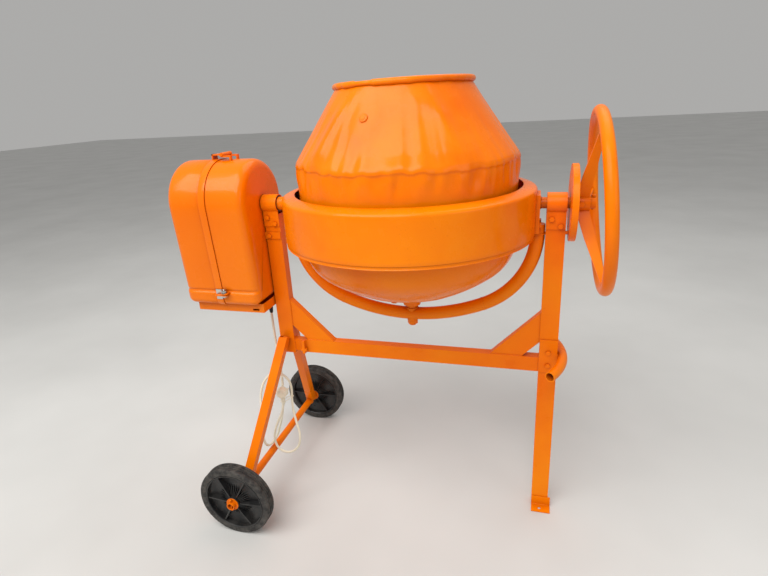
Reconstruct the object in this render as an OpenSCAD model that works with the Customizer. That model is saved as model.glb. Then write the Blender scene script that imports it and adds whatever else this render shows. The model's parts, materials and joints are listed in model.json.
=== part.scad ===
// Electric concrete mixer: tilting drum in a yoke, belt and gear drive, two-wheeled stand.
// Millimetres, +Z up, floor at z = 0. X runs along the tilt axis with the handwheel on +X.
// The origin is on the floor below the middle of the whole machine.

/* [Drum] */
// Outer radius of the straight part of the drum
drum_radius = 302; // [250:1:340]
// Radius to the middle of the rolled bead at the mouth
mouth_radius = 179; // [140:1:220]
// Height of the middle of the rolled bead
mouth_height = 1300; // [1200:1:1400]
// Height where the cone starts
shoulder_height = 1110; // [1050:1:1150]
// Lowest point of the bowl
bowl_bottom = 708; // [690:1:740]
// Thickness of the drum and guard sheet
sheet = 2; // [1.5:0.5:4]

/* [Tilting yoke] */
// Height of the tilt axis
tilt_height = 980; // [900:5:1050]
// Outer radius of the band that guards the ring gear
guard_radius = 350; // [330:1:380]
// Lower edge of the guard band
guard_bottom = 902; // [890:1:910]
// Upper edge of the guard band's straight part
guard_shoulder = 1014; // [1000:1:1040]
// Radius of the bent yoke tube
yoke_tube_radius = 19; // [15:0.5:25]
// Height of the yoke tube's middle under the bowl
yoke_bottom = 643; // [620:1:660]

/* [Drive] */
// Teeth on the ring gear
ring_teeth = 120; // [90:6:150]
// Teeth on the pinion
pinion_teeth = 12; // [10:1:16]
// Pitch radius of the ring gear
ring_pitch_radius = 322; // [315:1:330]
// Outer radius of the large pulley
large_pulley_radius = 105; // [80:1:110]
// Outer radius of the motor pulley
motor_pulley_radius = 21; // [15:1:40]

/* [Stand] */
// Distance of the left post's middle from the drum axis
left_post_reach = 428; // [420:1:460]
// Distance of the right post's middle from the drum axis
right_post_reach = 400; // [390:1:440]
// Width of a post along X
post_width = 50; // [40:1:60]
// Depth of a post along Y
post_depth = 30; // [25:1:40]
// Top face of the cross beam
beam_top = 531; // [480:1:560]
// Height of the cross beam's section
beam_height = 45; // [35:1:60]
// Wall of the square and rectangular tubes
tube_wall = 2.5; // [1.5:0.5:4]

/* [Wheels] */
// Outer radius of the wheels
wheel_radius = 118; // [90:1:140]
// Width of the tread
wheel_width = 42; // [30:1:60]
// Distance of the axle from the drum axis
axle_reach = 508; // [480:1:540]
// Half the distance between the outer faces of the wheels
half_track = 338; // [300:1:360]

/* [Handwheel] */
// Radius to the middle of the handwheel's rim tube
handwheel_radius = 225; // [180:1:250]
// Radius of the rim tube
rim_tube_radius = 15; // [10:1:18]
// Lean of the rim, knocked out of true in use
handwheel_lean = 5; // [0:0.5:8]
// Outer radius of the locking disc
disc_radius = 100; // [80:1:110]

/* [Motor housing] */
// Radius of the housing's round top
housing_radius = 125; // [115:1:135]
// Wall of the housing shells
housing_wall = 3; // [2:0.5:4]
// Height of the motor shaft
motor_height = 775; // [770:1:800]

/* [Hidden] */

// Colours of the sub-parts
paint = [0.90, 0.36, 0.03];
zinc = [0.72, 0.72, 0.70];
bare_steel = [0.50, 0.50, 0.50];
casting = [0.30, 0.30, 0.31];
black_plastic = [0.06, 0.06, 0.06];
cord_cream = [0.85, 0.82, 0.70];
start_green = [0.05, 0.45, 0.12];
stop_red = [0.75, 0.05, 0.04];

// Fits and small gaps
cut = 1;
running_gap = 0.05;
hole_gap = 0.3;

// The drum axis stands this far to the right of the origin
drum_shift = 87;

// Bolts
bolt_radius = 4;
bolt_head_radius = 7.5;
bolt_head_height = 5;

// Posts and bearing brackets
bracket_sheet = 3;
bracket_radius = 27.5;
bush_radius = 24.5;
left_trunnion_radius = 20;
right_shaft_radius = 15;
post_top = tilt_height - 30;
left_post_bottom = 480;
post_joint_height = 566;
joint_bolt_heights = [550, 509];
bracket_bottom = 912;
bracket_bolts = [[-11, 940], [12, 921]];
left_face = -left_post_reach - post_width / 2;
right_face = right_post_reach + post_width / 2;

// Beam and braces
beam_depth = 30;
beam_left = -362;
beam_right = right_post_reach - post_width / 2;
flange_sheet = 4;
flange_half_depth = 29;
flange_bolt_y = 22;
flange_bolt_z = 498;
brace_width = 65;
brace_depth = 24;
brace_foot = 140;

// Wheel legs
leg_size = 28;
leg_pitch = 28;
leg_rake = 10.6;
leg_foot_y = 262;
leg_top = 548;
axle_radius = 12.5;
axle_bore = 10;
axle_half_length = half_track + 18;
hub_half_width = wheel_width / 2 + 4;
wheel_middle = half_track - wheel_width / 2;
washer_sheet = 2.5;
cotter_radius = 2;

// Handle
handle_bend = 240;
handle_tube_radius = 14;
handle_half_angle = 32;
handle_height = 533;
handle_gap = 0.8;

// Yoke: two corner bends joined by one wide bend, tangent to each other
corner_bend = 230;
corner_x = 125;
yoke_top = 898;
corner_z = yoke_top;
corner_drop = corner_z - yoke_bottom;
wide_bend = (corner_x * corner_x + corner_drop * corner_drop - corner_bend * corner_bend)
    / (2 * (corner_drop - corner_bend));
wide_half_angle = atan2(corner_x, yoke_bottom + wide_bend - corner_z);

// Guard band
lip_radius = 314;
lip_height = 1030;
lip_corner = 8;
closing_ring_inner = 312;
closing_ring_sheet = 2.5;
trunnion_plate_sheet = 8;
trunnion_plate_half_width = 38;
trunnion_plate_top = 1006;
yoke_bolt_y = 27;
yoke_bolt_z = 925;

// Bearings of the drum and pinion
spindle_radius = 15;
spindle_shank = 10;
spindle_boss = 16;
nut_bottom = 610;
nut_height = 12;
hub_radius = 26;
hub_bottom = 672;
hub_top = 762;
spindle_top = 750;
pinion_shaft_radius = 10;
bearing_radius = 14;

// Bowl: a shallow dish that runs into a knuckle and then a straight wall
dish_bend = 419;
knuckle_bend = 110;
knuckle_angle = asin((drum_radius - knuckle_bend) / (dish_bend - knuckle_bend));
knuckle_z = bowl_bottom + dish_bend - (dish_bend - knuckle_bend) * cos(knuckle_angle);
bowl_top = 962;
bead_radius = 9;
cone_top = mouth_height - bead_radius + 2;
cone_top_radius = mouth_radius - 1;
cone_angle = atan2(drum_radius - cone_top_radius, cone_top - shoulder_height);
blade_azimuths = [259, 79];
blade_bolt_height = 1220;
blade_bolt_radius = drum_radius - (blade_bolt_height - shoulder_height) * tan(cone_angle);
blade_sheet = 4;
blade_foot_radius = 120;
dish_bolt_angle = asin(blade_foot_radius / dish_bend);
gear_bolt_height = 922;
gear_bolt_count = 8;

// Gears
pinion_pitch_radius = ring_pitch_radius * pinion_teeth / ring_teeth;
pitch_plane = tilt_height - pinion_pitch_radius;
tooth_addendum = 4.4;
tooth_dedendum = 5.7;
tooth_pitch_half = 3.7;
tooth_tip_half = 2.1;
tooth_root_half = 4.6;
ring_gear_outer = 341;
ring_gear_web = 12;
ring_gear_flange = 309;
gear_face_inner = 310;
gear_face_outer = 340;

// Handwheel
rim_plane = 507;
hub_left = 432;
hub_right = 480;
hub_outer = 22;
spoke_angles = [60, 180, 300];
spoke_sheet = 5;
disc_sheet = 3;
disc_flange = 16;
peg_circle = 78;
peg_angle = 262.5;
peg_radius = 5;
handwheel_bolt_x = 459;
slide_travel = 5;

// Motor housing
housing_top_z = 990;
housing_foot_half = 108;
housing_bottom = 680;
housing_corner = 18;
side_lean = atan2(housing_bottom + housing_corner - housing_top_z, housing_foot_half - housing_corner)
    + acos((housing_radius - housing_corner)
           / norm([housing_foot_half - housing_corner,
                   housing_bottom + housing_corner - housing_top_z]));
housing_left = -716;
housing_right = left_face - 3;
housing_seam = -577;
seam_gap = 0.5;
lip_width = 22;
base_bottom = 650;
base_half_depth = 86;
base_left = -692;
pulley_plane = -528;
pulley_width = 22;
motor_radius = 60;
motor_left = -698;
motor_right = -552;
hinge_x = -562;
hinge_z = 1130;
hinge_radius = 7;
hinge_pin_radius = 4;
clamp_x = -566;
clamp_y = -118;
clamp_z = 722;
tab_sheet = 3;

// Switch on the back of the housing
switch_x = -515;
switch_y = 124;
switch_z = 850;
button_radius = 11;
button_spacing = 32;

// Cord: down from the housing, round below the axle and up into a hank that hangs on a peg.
// Its points are measured from the drum axis.
cord_radius = 4;
gland_radius = 9;
gland_bore = 3;
gland_length = 22;
hank_peg = [-463, -36, 402];
hank_peg_radius = 4;
cord_sides = 8;
cord_steps = 2;
cord_points = [
    [-488, 10, 628], [-488, 9, 585], [-487, 8, 540], [-484, 5, 495], [-479, 0, 450],
    [-474, -6, 405], [-470, -14, 360], [-468, -26, 315], [-470, -34, 272], [-477, -38, 232],
    [-488, -41, 196], [-498, -46, 166], [-507, -61, 147], [-513, -82, 143], [-517, -99, 156],
    [-520, -105, 186], [-521, -98, 226], [-524, -87, 266], [-528, -76, 304], [-527, -66, 342],
    [-516, -58, 378], [-494, -52, 405], [-468, -47, 413], [-446, -38, 400], [-436, -25, 370],
    [-436, -18, 335], [-437, -22, 300], [-432, -32, 262], [-418, -46, 224], [-405, -58, 186],
    [-409, -66, 146], [-432, -70, 120], [-462, -70, 112], [-487, -72, 127], [-497, -72, 160],
    [-491, -70, 198], [-477, -66, 234], [-461, -60, 268], [-452, -56, 303]
];
plug_radius = 18.5;
plug_centre = [-452, -56, 345];
plug_neck_bottom = 303;
plug_neck_radius = 7;

// ---------- helpers ----------

module at_drum(x = 0, y = 0, z = 0) {
    translate([drum_shift + x, y, z]) children();
}

// Rectangular tube standing on z = 0
module box_tube(width, depth, length, wall = tube_wall) {
    linear_extrude(length)
        difference() {
            square([width, depth], center = true);
            square([width - 2 * wall, depth - 2 * wall], center = true);
        }
}

// Round tube or bar along +X, starting at x = 0
module x_tube(outer, inner, length) {
    rotate([0, 90, 0])
        difference() {
            cylinder(r = outer, h = length);
            translate([0, 0, -cut]) cylinder(r = inner, h = length + 2 * cut);
        }
}

module x_bar(radius, length) {
    rotate([0, 90, 0]) cylinder(r = radius, h = length);
}

// Bar along +Y, middle at y = 0
module y_bar(radius, length) {
    rotate([90, 0, 0]) cylinder(r = radius, h = length, center = true);
}

// Hexagon bolt with its nut, clamping a stack of the given thickness from z = 0 down
module hex_bolt(stack) {
    cylinder(r = bolt_head_radius, h = bolt_head_height, $fn = 6);
    translate([0, 0, -stack]) cylinder(r = bolt_radius, h = stack);
    translate([0, 0, -stack - bolt_head_height])
        cylinder(r = bolt_head_radius, h = bolt_head_height, $fn = 6);
}

// Points of an arc in the plane of a profile
function arc(cx, cz, r, a0, a1, steps) =
    [for (i = [0:steps]) let (a = a0 + (a1 - a0) * i / steps) [cx + r * cos(a), cz + r * sin(a)]];

// ---------- stand ----------

module bracket_bolt_places() {
    for (place = bracket_bolts) {
        translate([place[0], 0, place[1]]) rotate([90, 0, 0]) children();
    }
}

module bracket_bolt_holes() {
    bracket_bolt_places() cylinder(r = bolt_radius + hole_gap, h = 2 * post_depth, center = true);
}

module left_post() {
    color(paint) at_drum(-left_post_reach) difference() {
        translate([0, 0, left_post_bottom])
            box_tube(post_width, post_depth, post_top - left_post_bottom);
        bracket_bolt_holes();
    }
}

module right_post() {
    color(paint) at_drum(right_post_reach) difference() {
        translate([0, 0, post_joint_height])
            box_tube(post_width, post_depth, post_top - post_joint_height);
        bracket_bolt_holes();
    }
}

module right_leg() {
    color(paint) at_drum(right_post_reach) difference() {
        translate([0, 0, bracket_sheet])
            box_tube(post_width, post_depth, post_joint_height - bracket_sheet);
        for (height = joint_bolt_heights) {
            translate([0, 0, height]) y_bar(bolt_radius + hole_gap, 2 * post_depth);
        }
    }
}

// Plate that covers the joint between the post and its leg
module joint_plate() {
    plate_bottom = 486;
    plate_top = 590;
    color(paint) at_drum(right_post_reach) difference() {
        translate([-post_width / 2, -post_depth / 2 - bracket_sheet, plate_bottom])
            cube([post_width, bracket_sheet, plate_top - plate_bottom]);
        for (height = joint_bolt_heights) {
            translate([0, 0, height]) y_bar(bolt_radius + hole_gap, 2 * post_depth);
        }
    }
}

module flange_bolt_places() {
    for (side = [-1, 1]) {
        translate([beam_left - flange_sheet, side * flange_bolt_y, flange_bolt_z])
            rotate([0, -90, 0]) children();
    }
}

module frame_bolts() {
    bracket_stack = post_depth + 2 * bracket_sheet;
    color(paint) at_drum() {
        for (reach = [-left_post_reach, right_post_reach]) {
            translate([reach, 0, 0]) bracket_bolt_places()
                translate([0, 0, bracket_stack / 2]) hex_bolt(bracket_stack);
        }
        for (height = joint_bolt_heights) {
            translate([right_post_reach, -post_depth / 2 - bracket_sheet, height])
                rotate([90, 0, 0]) hex_bolt(post_depth + bracket_sheet);
        }
        flange_bolt_places() translate([0, 0, flange_sheet]) hex_bolt(2 * flange_sheet);
    }
}

// Angle foot under the single leg, with a hole for a ground spike
module foot() {
    foot_width = 57;
    foot_front = 50;
    foot_rise = 34;
    spike_hole = 5;
    color(paint) at_drum(right_post_reach) difference() {
        union() {
            translate([-post_width / 2, -foot_front, 0])
                cube([foot_width, foot_front + post_depth / 2, bracket_sheet]);
            translate([-post_width / 2, -post_depth / 2 - bracket_sheet, 0])
                cube([foot_width, bracket_sheet, foot_rise]);
        }
        translate([0, -34, -cut]) cylinder(r = spike_hole, h = bracket_sheet + 2 * cut);
    }
}

module cross_beam() {
    color(paint) at_drum() difference() {
        union() {
            translate([beam_left, 0, beam_top - beam_height / 2])
                rotate([0, 90, 0]) box_tube(beam_height, beam_depth, beam_right - beam_left);
            translate([beam_left - flange_sheet, -flange_half_depth, beam_top - beam_height])
                cube([flange_sheet, 2 * flange_half_depth, beam_height]);
        }
        flange_bolt_places()
            cylinder(r = bolt_radius + hole_gap, h = 4 * flange_sheet, center = true);
    }
}

// Stub on the left post that the beam is bolted to
module beam_socket() {
    socket_height = 40;
    socket_depth = 26;
    flange_left = beam_left - 2 * flange_sheet;
    post_side = -left_post_reach + post_width / 2;
    color(paint) at_drum() difference() {
        union() {
            translate([post_side, 0, beam_top - 2 - socket_height / 2])
                rotate([0, 90, 0]) box_tube(socket_height, socket_depth, flange_left - post_side);
            translate([flange_left, -flange_half_depth, beam_top - beam_height])
                cube([flange_sheet, 2 * flange_half_depth, beam_height]);
        }
        flange_bolt_places()
            cylinder(r = bolt_radius + hole_gap, h = 4 * flange_sheet, center = true);
    }
}

// Folded channel at 45 degrees between a post and the beam, drawn for the left corner
module brace(corner) {
    band = brace_width * sqrt(2);
    translate([corner, brace_depth / 2, beam_top])
        rotate([90, 0, 0])
            difference() {
                linear_extrude(brace_depth)
                    polygon([[0, brace_foot], [brace_foot, 0], [brace_foot - band, 0],
                             [0, brace_foot - band]]);
                translate([0, 0, -cut])
                    linear_extrude(brace_depth + cut - bracket_sheet)
                        polygon([[-cut, brace_foot + cut - 4], [brace_foot + cut - 4, -cut],
                                 [brace_foot - band - cut + 4, -cut],
                                 [-cut, brace_foot - band - cut + 4]]);
            }
}

module left_brace() {
    color(paint) at_drum() brace(-left_post_reach + post_width / 2);
}

module right_brace() {
    color(paint) at_drum() mirror([1, 0, 0]) brace(-right_post_reach + post_width / 2);
}

// Square tube from the foot of the left post out to the axle, cut level at the top
module wheel_leg() {
    leg_length = 520;
    color(paint) at_drum() difference() {
        intersection() {
            translate([-axle_reach, -leg_foot_y, wheel_radius])
                rotate([-leg_pitch, leg_rake, 0])
                    translate([0, 0, -leg_size])
                        box_tube(leg_size, leg_size, leg_length);
            translate([-axle_reach - 50, -leg_foot_y - 50, wheel_radius])
                cube([250, 400, leg_top - wheel_radius]);
        }
        translate([-axle_reach, 0, wheel_radius]) y_bar(axle_radius, 2 * half_track);
        translate([-left_post_reach - post_width / 2, -post_depth / 2, left_post_bottom])
            cube([post_width, post_depth, leg_top]);
    }
}

// The front leg also carries a short peg that the cord's hank hangs on
module front_wheel_leg() {
    peg_length = 62;
    wheel_leg();
    color(paint) at_drum(hank_peg[0], hank_peg[1], hank_peg[2])
        translate([0, -peg_length, 0]) rotate([-90, 0, 0])
            cylinder(r = hank_peg_radius, h = peg_length);
}

module rear_wheel_leg() {
    mirror([0, 1, 0]) wheel_leg();
}

module axle_tube() {
    color(paint) at_drum(-axle_reach, 0, wheel_radius) difference() {
        y_bar(axle_radius, 2 * axle_half_length);
        y_bar(axle_bore, 2 * axle_half_length + 2 * cut);
        cotter_places() cylinder(r = cotter_radius + hole_gap, h = 60, center = true);
    }
}

module cotter_places() {
    for (side = [-1, 1]) {
        translate([0, side * (axle_half_length - 6), 0]) children();
    }
}

module axle_washers() {
    washer_places = [wheel_middle - hub_half_width - 0.5 - washer_sheet,
                     wheel_middle + hub_half_width + 0.5];
    color(bare_steel) at_drum(-axle_reach, 0, wheel_radius)
        for (side = [0, 1]) {
            mirror([0, side, 0])
                for (place = washer_places) {
                    translate([0, -place, 0]) rotate([90, 0, 0]) difference() {
                        cylinder(r = 20, h = washer_sheet);
                        translate([0, 0, -cut])
                            cylinder(r = axle_radius + hole_gap, h = washer_sheet + 2 * cut);
                    }
                }
        }
}

module cotter_pins() {
    color(paint) at_drum(-axle_reach, 0, wheel_radius)
        cotter_places() {
            translate([0, 0, -18]) cylinder(r = cotter_radius, h = 34);
            translate([0, 0, 18]) rotate([0, 90, 0]) cylinder(r = 3.5, h = 4, center = true);
        }
}

// Bent grab tube on the outside of the right post
module transport_handle() {
    bend_x = right_face + handle_gap + handle_tube_radius - handle_bend;
    color(paint) at_drum(bend_x, 0, handle_height)
        rotate([0, 0, -handle_half_angle])
            rotate_extrude(angle = 2 * handle_half_angle)
                translate([handle_bend, 0]) difference() {
                    circle(r = handle_tube_radius);
                    circle(r = handle_tube_radius - tube_wall);
                }
}

// Sheet folded over a bearing bush and bolted through the post
module bearing_bracket() {
    half_gap = post_depth / 2;
    color(paint) difference() {
        translate([-post_width / 2, 0, 0]) rotate([90, 0, 90]) linear_extrude(post_width)
            difference() {
                union() {
                    translate([0, tilt_height]) circle(r = bracket_radius);
                    translate([-half_gap - bracket_sheet, bracket_bottom])
                        square([post_depth + 2 * bracket_sheet, tilt_height - bracket_bottom]);
                }
                translate([0, tilt_height]) circle(r = bush_radius);
                translate([-half_gap, bracket_bottom - cut])
                    square([post_depth, tilt_height - bracket_bottom - bush_radius / 2]);
            }
        bracket_bolt_holes();
    }
}

module left_bearing_bracket() {
    at_drum(-left_post_reach) bearing_bracket();
}

module right_bearing_bracket() {
    at_drum(right_post_reach) bearing_bracket();
}

module left_bearing_bush() {
    color(black_plastic) at_drum(left_face, 0, tilt_height)
        x_tube(bush_radius, left_trunnion_radius + running_gap, post_width);
}

module right_bearing_bush() {
    color(black_plastic) at_drum(right_face - post_width, 0, tilt_height)
        x_tube(bush_radius, right_shaft_radius + running_gap, post_width);
}

// Strap that holds the housing's back plate to the left post
module housing_band() {
    band_bottom = 872;
    band_height = 22;
    color(paint) at_drum(-left_post_reach, 0, band_bottom) {
        linear_extrude(band_height)
            difference() {
                translate([-1.5, 0])
                    square([post_width + 3, post_depth + 2 * bracket_sheet], center = true);
                square([post_width, post_depth], center = true);
                translate([post_width / 2 - cut, -post_depth])
                    square([post_width, 2 * post_depth]);
            }
        translate([-12, -post_depth / 2 - bracket_sheet, band_height / 2])
            rotate([90, 0, 0]) cylinder(r = bolt_head_radius, h = bolt_head_height, $fn = 6);
    }
}

// Fixed peg that a hole of the locking disc drops over when the handwheel is pushed in
module catch_peg() {
    color(paint)
        at_drum(right_face, peg_circle * cos(peg_angle), tilt_height + peg_circle * sin(peg_angle))
            x_bar(peg_radius, slide_travel + 1);
}

// ---------- motor housing ----------

// Outline of the housing across the tilt axis: a round top that runs straight down to two
// rounded foot corners. The tangent lines keep their direction for every inset.
module housing_outline(inset) {
    corner = housing_corner - inset;
    top = housing_radius - inset;
    foot_y = housing_foot_half - housing_corner;
    foot_z = housing_bottom + housing_corner;
    translate([0, housing_top_z]) circle(r = top);
    for (side = [-1, 1]) {
        translate([side * foot_y, foot_z]) circle(r = corner);
    }
    polygon([
        [top * cos(side_lean), housing_top_z + top * sin(side_lean)],
        [foot_y + corner * cos(side_lean), foot_z + corner * sin(side_lean)],
        [foot_y, foot_z], [foot_y, housing_bottom + inset],
        [-foot_y, housing_bottom + inset], [-foot_y, foot_z],
        [-foot_y - corner * cos(side_lean), foot_z + corner * sin(side_lean)],
        [-top * cos(side_lean), housing_top_z + top * sin(side_lean)]
    ]);
}

module housing_prism(from, to, inset) {
    translate([from, 0, 0]) rotate([90, 0, 90])
        linear_extrude(to - from) housing_outline(inset);
}

module housing_shell() {
    color(paint) at_drum() {
        difference() {
            housing_prism(housing_seam, housing_right, 0);
            housing_prism(housing_seam - cut, housing_right - housing_wall, housing_wall);
            translate([housing_right - 2 * housing_wall, 0, tilt_height])
                x_bar(left_trunnion_radius + 4, 4 * housing_wall);
            button_places() translate([0, 0, -20]) cylinder(r = button_radius + 1, h = 60);
        }
        shell_tab();
    }
}

module housing_cover() {
    color(paint) at_drum() {
        difference() {
            union() {
                housing_prism(housing_left, housing_seam - seam_gap, 0);
                housing_prism(housing_seam - lip_width, housing_seam - seam_gap, -2);
            }
            housing_prism(housing_left + housing_wall, housing_seam + cut, housing_wall);
            translate([housing_left, -housing_foot_half, base_bottom])
                cube([housing_right - housing_left, 2 * housing_foot_half,
                      housing_bottom - base_bottom + seam_gap / 2]);
        }
        hinge_leaf(housing_seam - 26, 14);
        cover_tab();
    }
}

// Knuckle and leaf of the top hinge
module hinge_knuckle(y, length) {
    translate([hinge_x, y, hinge_z]) rotate([-90, 0, 0]) difference() {
        cylinder(r = hinge_radius, h = length);
        translate([0, 0, -cut])
            cylinder(r = hinge_pin_radius + running_gap, h = length + 2 * cut);
    }
}

module hinge_leaf(leaf_end, half_length) {
    leaf_sheet = 4;
    housing_top = housing_top_z + housing_radius;
    difference() {
        union() {
            translate([hinge_x, -half_length, hinge_z]) rotate([-90, 0, 0])
                cylinder(r = hinge_radius, h = 2 * half_length);
            translate([leaf_end, -half_length, hinge_z - leaf_sheet / 2])
                cube([hinge_x - leaf_end, 2 * half_length, leaf_sheet]);
            translate([leaf_end, -half_length, housing_top - 3])
                cube([leaf_sheet, 2 * half_length, hinge_z - housing_top + 3]);
        }
        translate([hinge_x, 0, hinge_z]) y_bar(hinge_pin_radius + running_gap, 4 * half_length);
        translate([housing_seam - 40, 0, housing_top_z])
            x_bar(housing_radius - 1, 45 - seam_gap);
    }
}

// Hinge ears on the fixed shell, with the pin riveted through them
module cover_hinge() {
    ear_length = 10;
    ear_gap = 14.5;
    ear_foot = 30;
    color(paint) at_drum() difference() {
        for (y = [-ear_gap - ear_length, ear_gap]) {
            hinge_knuckle(y, ear_length);
            translate([hinge_x, y, hinge_z - hinge_radius])
                cube([ear_foot, ear_length, 5]);
            translate([hinge_x + ear_foot - 5, y, housing_top_z + housing_radius - 8])
                cube([5, ear_length, hinge_z - hinge_radius - housing_top_z - housing_radius + 9]);
        }
        translate([housing_seam - cut, 0, housing_top_z])
            x_bar(housing_radius, 2 * housing_radius);
    }
    color(paint) at_drum(hinge_x, 0, hinge_z) y_bar(hinge_pin_radius, 54);
}

// Tab of the cover that reaches under the shell's tab, with the clamp bolt through it
module cover_tab() {
    difference() {
        translate([housing_seam - 20, clamp_y - 12, clamp_z - 2 * tab_sheet])
            cube([30, 21, tab_sheet]);
        clamp_hole();
        housing_prism(housing_seam - seam_gap, housing_right, -seam_gap);
    }
}

// Tab of the shell over the clamp bolt, slotted so that the bolt swings away with the cover
module shell_tab() {
    slot_half = bolt_radius + hole_gap;
    difference() {
        translate([housing_seam + 1, clamp_y - 12, clamp_z]) cube([26, 21, tab_sheet]);
        translate([housing_seam - cut, clamp_y - 2 - slot_half, clamp_z - cut])
            cube([clamp_x - housing_seam + cut, 2 * slot_half, tab_sheet + 2 * cut]);
        clamp_hole();
    }
}

module clamp_hole() {
    translate([clamp_x, clamp_y - 2, clamp_z - 10])
        cylinder(r = bolt_radius + hole_gap, h = 20);
}

module cover_bolt() {
    color(zinc) at_drum(clamp_x, clamp_y - 2, clamp_z - 6) {
        translate([0, 0, -bolt_head_height])
            cylinder(r = bolt_head_radius, h = bolt_head_height, $fn = 6);
        cylinder(r = bolt_radius, h = 22);
        translate([0, 0, 10]) cylinder(r = bolt_head_radius, h = bolt_head_height, $fn = 6);
    }
}

// Shallow tray under both shells that closes the housing
module housing_base() {
    depth = 2 * base_half_depth;
    width = housing_right - base_left;
    color(paint) at_drum(base_left, -base_half_depth, base_bottom) difference() {
        cube([width, depth, housing_bottom - base_bottom]);
        translate([housing_wall, housing_wall, housing_wall])
            cube([width - 2 * housing_wall, depth - 2 * housing_wall, housing_bottom]);
        translate([width - 40, -cut, 6]) cube([22, depth / 4, 6]);
    }
}

module motor() {
    fin_count = 24;
    color(casting) at_drum(0, 0, motor_height) {
        difference() {
            union() {
                translate([motor_left, 0, 0]) x_bar(motor_radius - 4, motor_right - motor_left);
                translate([motor_left, 0, 0]) x_bar(motor_radius, 24);
                translate([motor_right - 18, 0, 0]) x_bar(motor_radius, 18);
                for (i = [0:fin_count - 1]) {
                    rotate([360 * i / fin_count, 0, 0])
                        translate([motor_left + 24, -1, motor_radius - 6])
                            cube([motor_right - motor_left - 42, 2, 6]);
                }
                translate([motor_right - 70, -35, 701 - motor_height])
                    cube([60, 70, 26]);
            }
            translate([motor_left + 20, 0, 0]) x_bar(9, motor_right - motor_left);
        }
    }
}

module motor_shelf() {
    shelf_half = 35;
    shelf_left = -632;
    inner_face = housing_right - housing_wall;
    color(zinc) at_drum() {
        translate([shelf_left, -shelf_half, 697])
            cube([inner_face - shelf_left, 2 * shelf_half, 4]);
        translate([inner_face - 4, -shelf_half, 701])
            cube([4, 2 * shelf_half, 20]);
    }
}

module motor_shaft() {
    color(bare_steel) at_drum(motor_left + 22, 0, motor_height)
        x_bar(7, pulley_plane + pulley_width / 2 - motor_left - 18);
}

// Grooved pulley along X, middle at x = 0
module pulley(outer, bore, dished) {
    half = pulley_width / 2;
    groove = 9;
    rotate([0, 90, 0]) rotate_extrude()
        polygon(dished
            ? [[bore, -half], [bore + 9, -half], [bore + 9, -3], [outer - groove - 7, -3],
               [outer - groove - 7, -half], [outer, -half], [outer - groove, -3],
               [outer - groove, 3], [outer, half], [outer - groove - 7, half],
               [outer - groove - 7, 3], [bore + 9, 3], [bore + 9, half], [bore, half]]
            : [[bore, -half], [outer, -half], [outer - groove, -3], [outer - groove, 3],
               [outer, half], [bore, half]]);
}

module motor_pulley() {
    color(casting) at_drum(pulley_plane, 0, motor_height) pulley(motor_pulley_radius, 7, false);
}

module large_pulley() {
    color(casting) at_drum(pulley_plane, 0, tilt_height)
        pulley(large_pulley_radius, pinion_shaft_radius, true);
}

// Drive belt: two arcs and two straight runs, clear of both grooves by a little
module drive_belt() {
    groove = 9;
    gap = 0.4;
    belt_thick = 7;
    big = large_pulley_radius - groove + gap;
    small = motor_pulley_radius - groove + gap;
    color(black_plastic) at_drum(pulley_plane - 2.5) rotate([90, 0, 90]) linear_extrude(5)
        difference() {
            belt_outline(big + belt_thick, small + belt_thick);
            belt_outline(big, small);
        }
}

module belt_outline(big, small) {
    hull() {
        translate([0, tilt_height]) circle(r = big, $fn = 96);
        translate([0, motor_height]) circle(r = small, $fn = 48);
    }
}

module button_places() {
    for (z = [switch_z - button_spacing / 2, switch_z + button_spacing / 2]) {
        translate([switch_x, switch_y, z]) rotate([-90, 0, 0]) children();
    }
}

// Switch box on the back of the housing, with a collar round each button
module switch_box() {
    box_depth = 34;
    color(black_plastic) at_drum() difference() {
        translate([switch_x - 30, switch_y - 6, switch_z - 42]) cube([60, box_depth, 84]);
        translate([switch_x - 27, switch_y - 7, switch_z - 39]) cube([54, box_depth - 2, 78]);
        housing_prism(housing_seam, housing_right, -0.2);
        button_places() translate([0, 0, -20]) cylinder(r = button_radius + 0.5, h = 60);
    }
}

module push_button(z) {
    at_drum(switch_x, switch_y, z) rotate([-90, 0, 0]) {
        translate([0, 0, 12]) cylinder(r = button_radius, h = 22);
        translate([0, 0, 10]) cylinder(r = button_radius + 3, h = 5);
    }
}

module start_button() {
    color(start_green) push_button(switch_z + button_spacing / 2);
}

module stop_button() {
    color(stop_red) push_button(switch_z - button_spacing / 2);
}

// ---------- cord ----------

module cord_gland() {
    exit = cord_points[0];
    color(black_plastic) at_drum(exit[0], exit[1], exit[2]) difference() {
        cylinder(r = gland_radius, h = gland_length);
        translate([0, 0, -cut]) cylinder(r = gland_bore, h = gland_length + 2 * cut);
    }
}

// Smooth curve through the route points
function spline(p0, p1, p2, p3, t) =
    0.5 * ((2 * p1) + (p2 - p0) * t + (2 * p0 - 5 * p1 + 4 * p2 - p3) * t * t
           + (3 * p1 - p0 - 3 * p2 + p3) * t * t * t);
function route_point(i) = cord_points[max(0, min(len(cord_points) - 1, i))];
cord_centres = [
    for (i = [0:len(cord_points) - 2], s = [0:cord_steps - 1])
        spline(route_point(i - 1), route_point(i), route_point(i + 1), route_point(i + 2),
               s / cord_steps),
    cord_points[len(cord_points) - 1]
];
function unit(v) = v / norm(v);
function heading(i) =
    i == 0 ? [0, 0, -1]
    : i == len(cord_centres) - 1 ? [0, 0, 1]
    : unit(cord_centres[i + 1] - cord_centres[i - 1]);
// The ring's side direction is carried along the route so that the tube doesn't twist
function carried(side, direction) = unit(side - (side * direction) * direction);
function sides_up_to(i) =
    i == 0 ? [[1, 0, 0]]
    : let (before = sides_up_to(i - 1)) concat(before, [carried(before[i - 1], heading(i))]);

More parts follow.
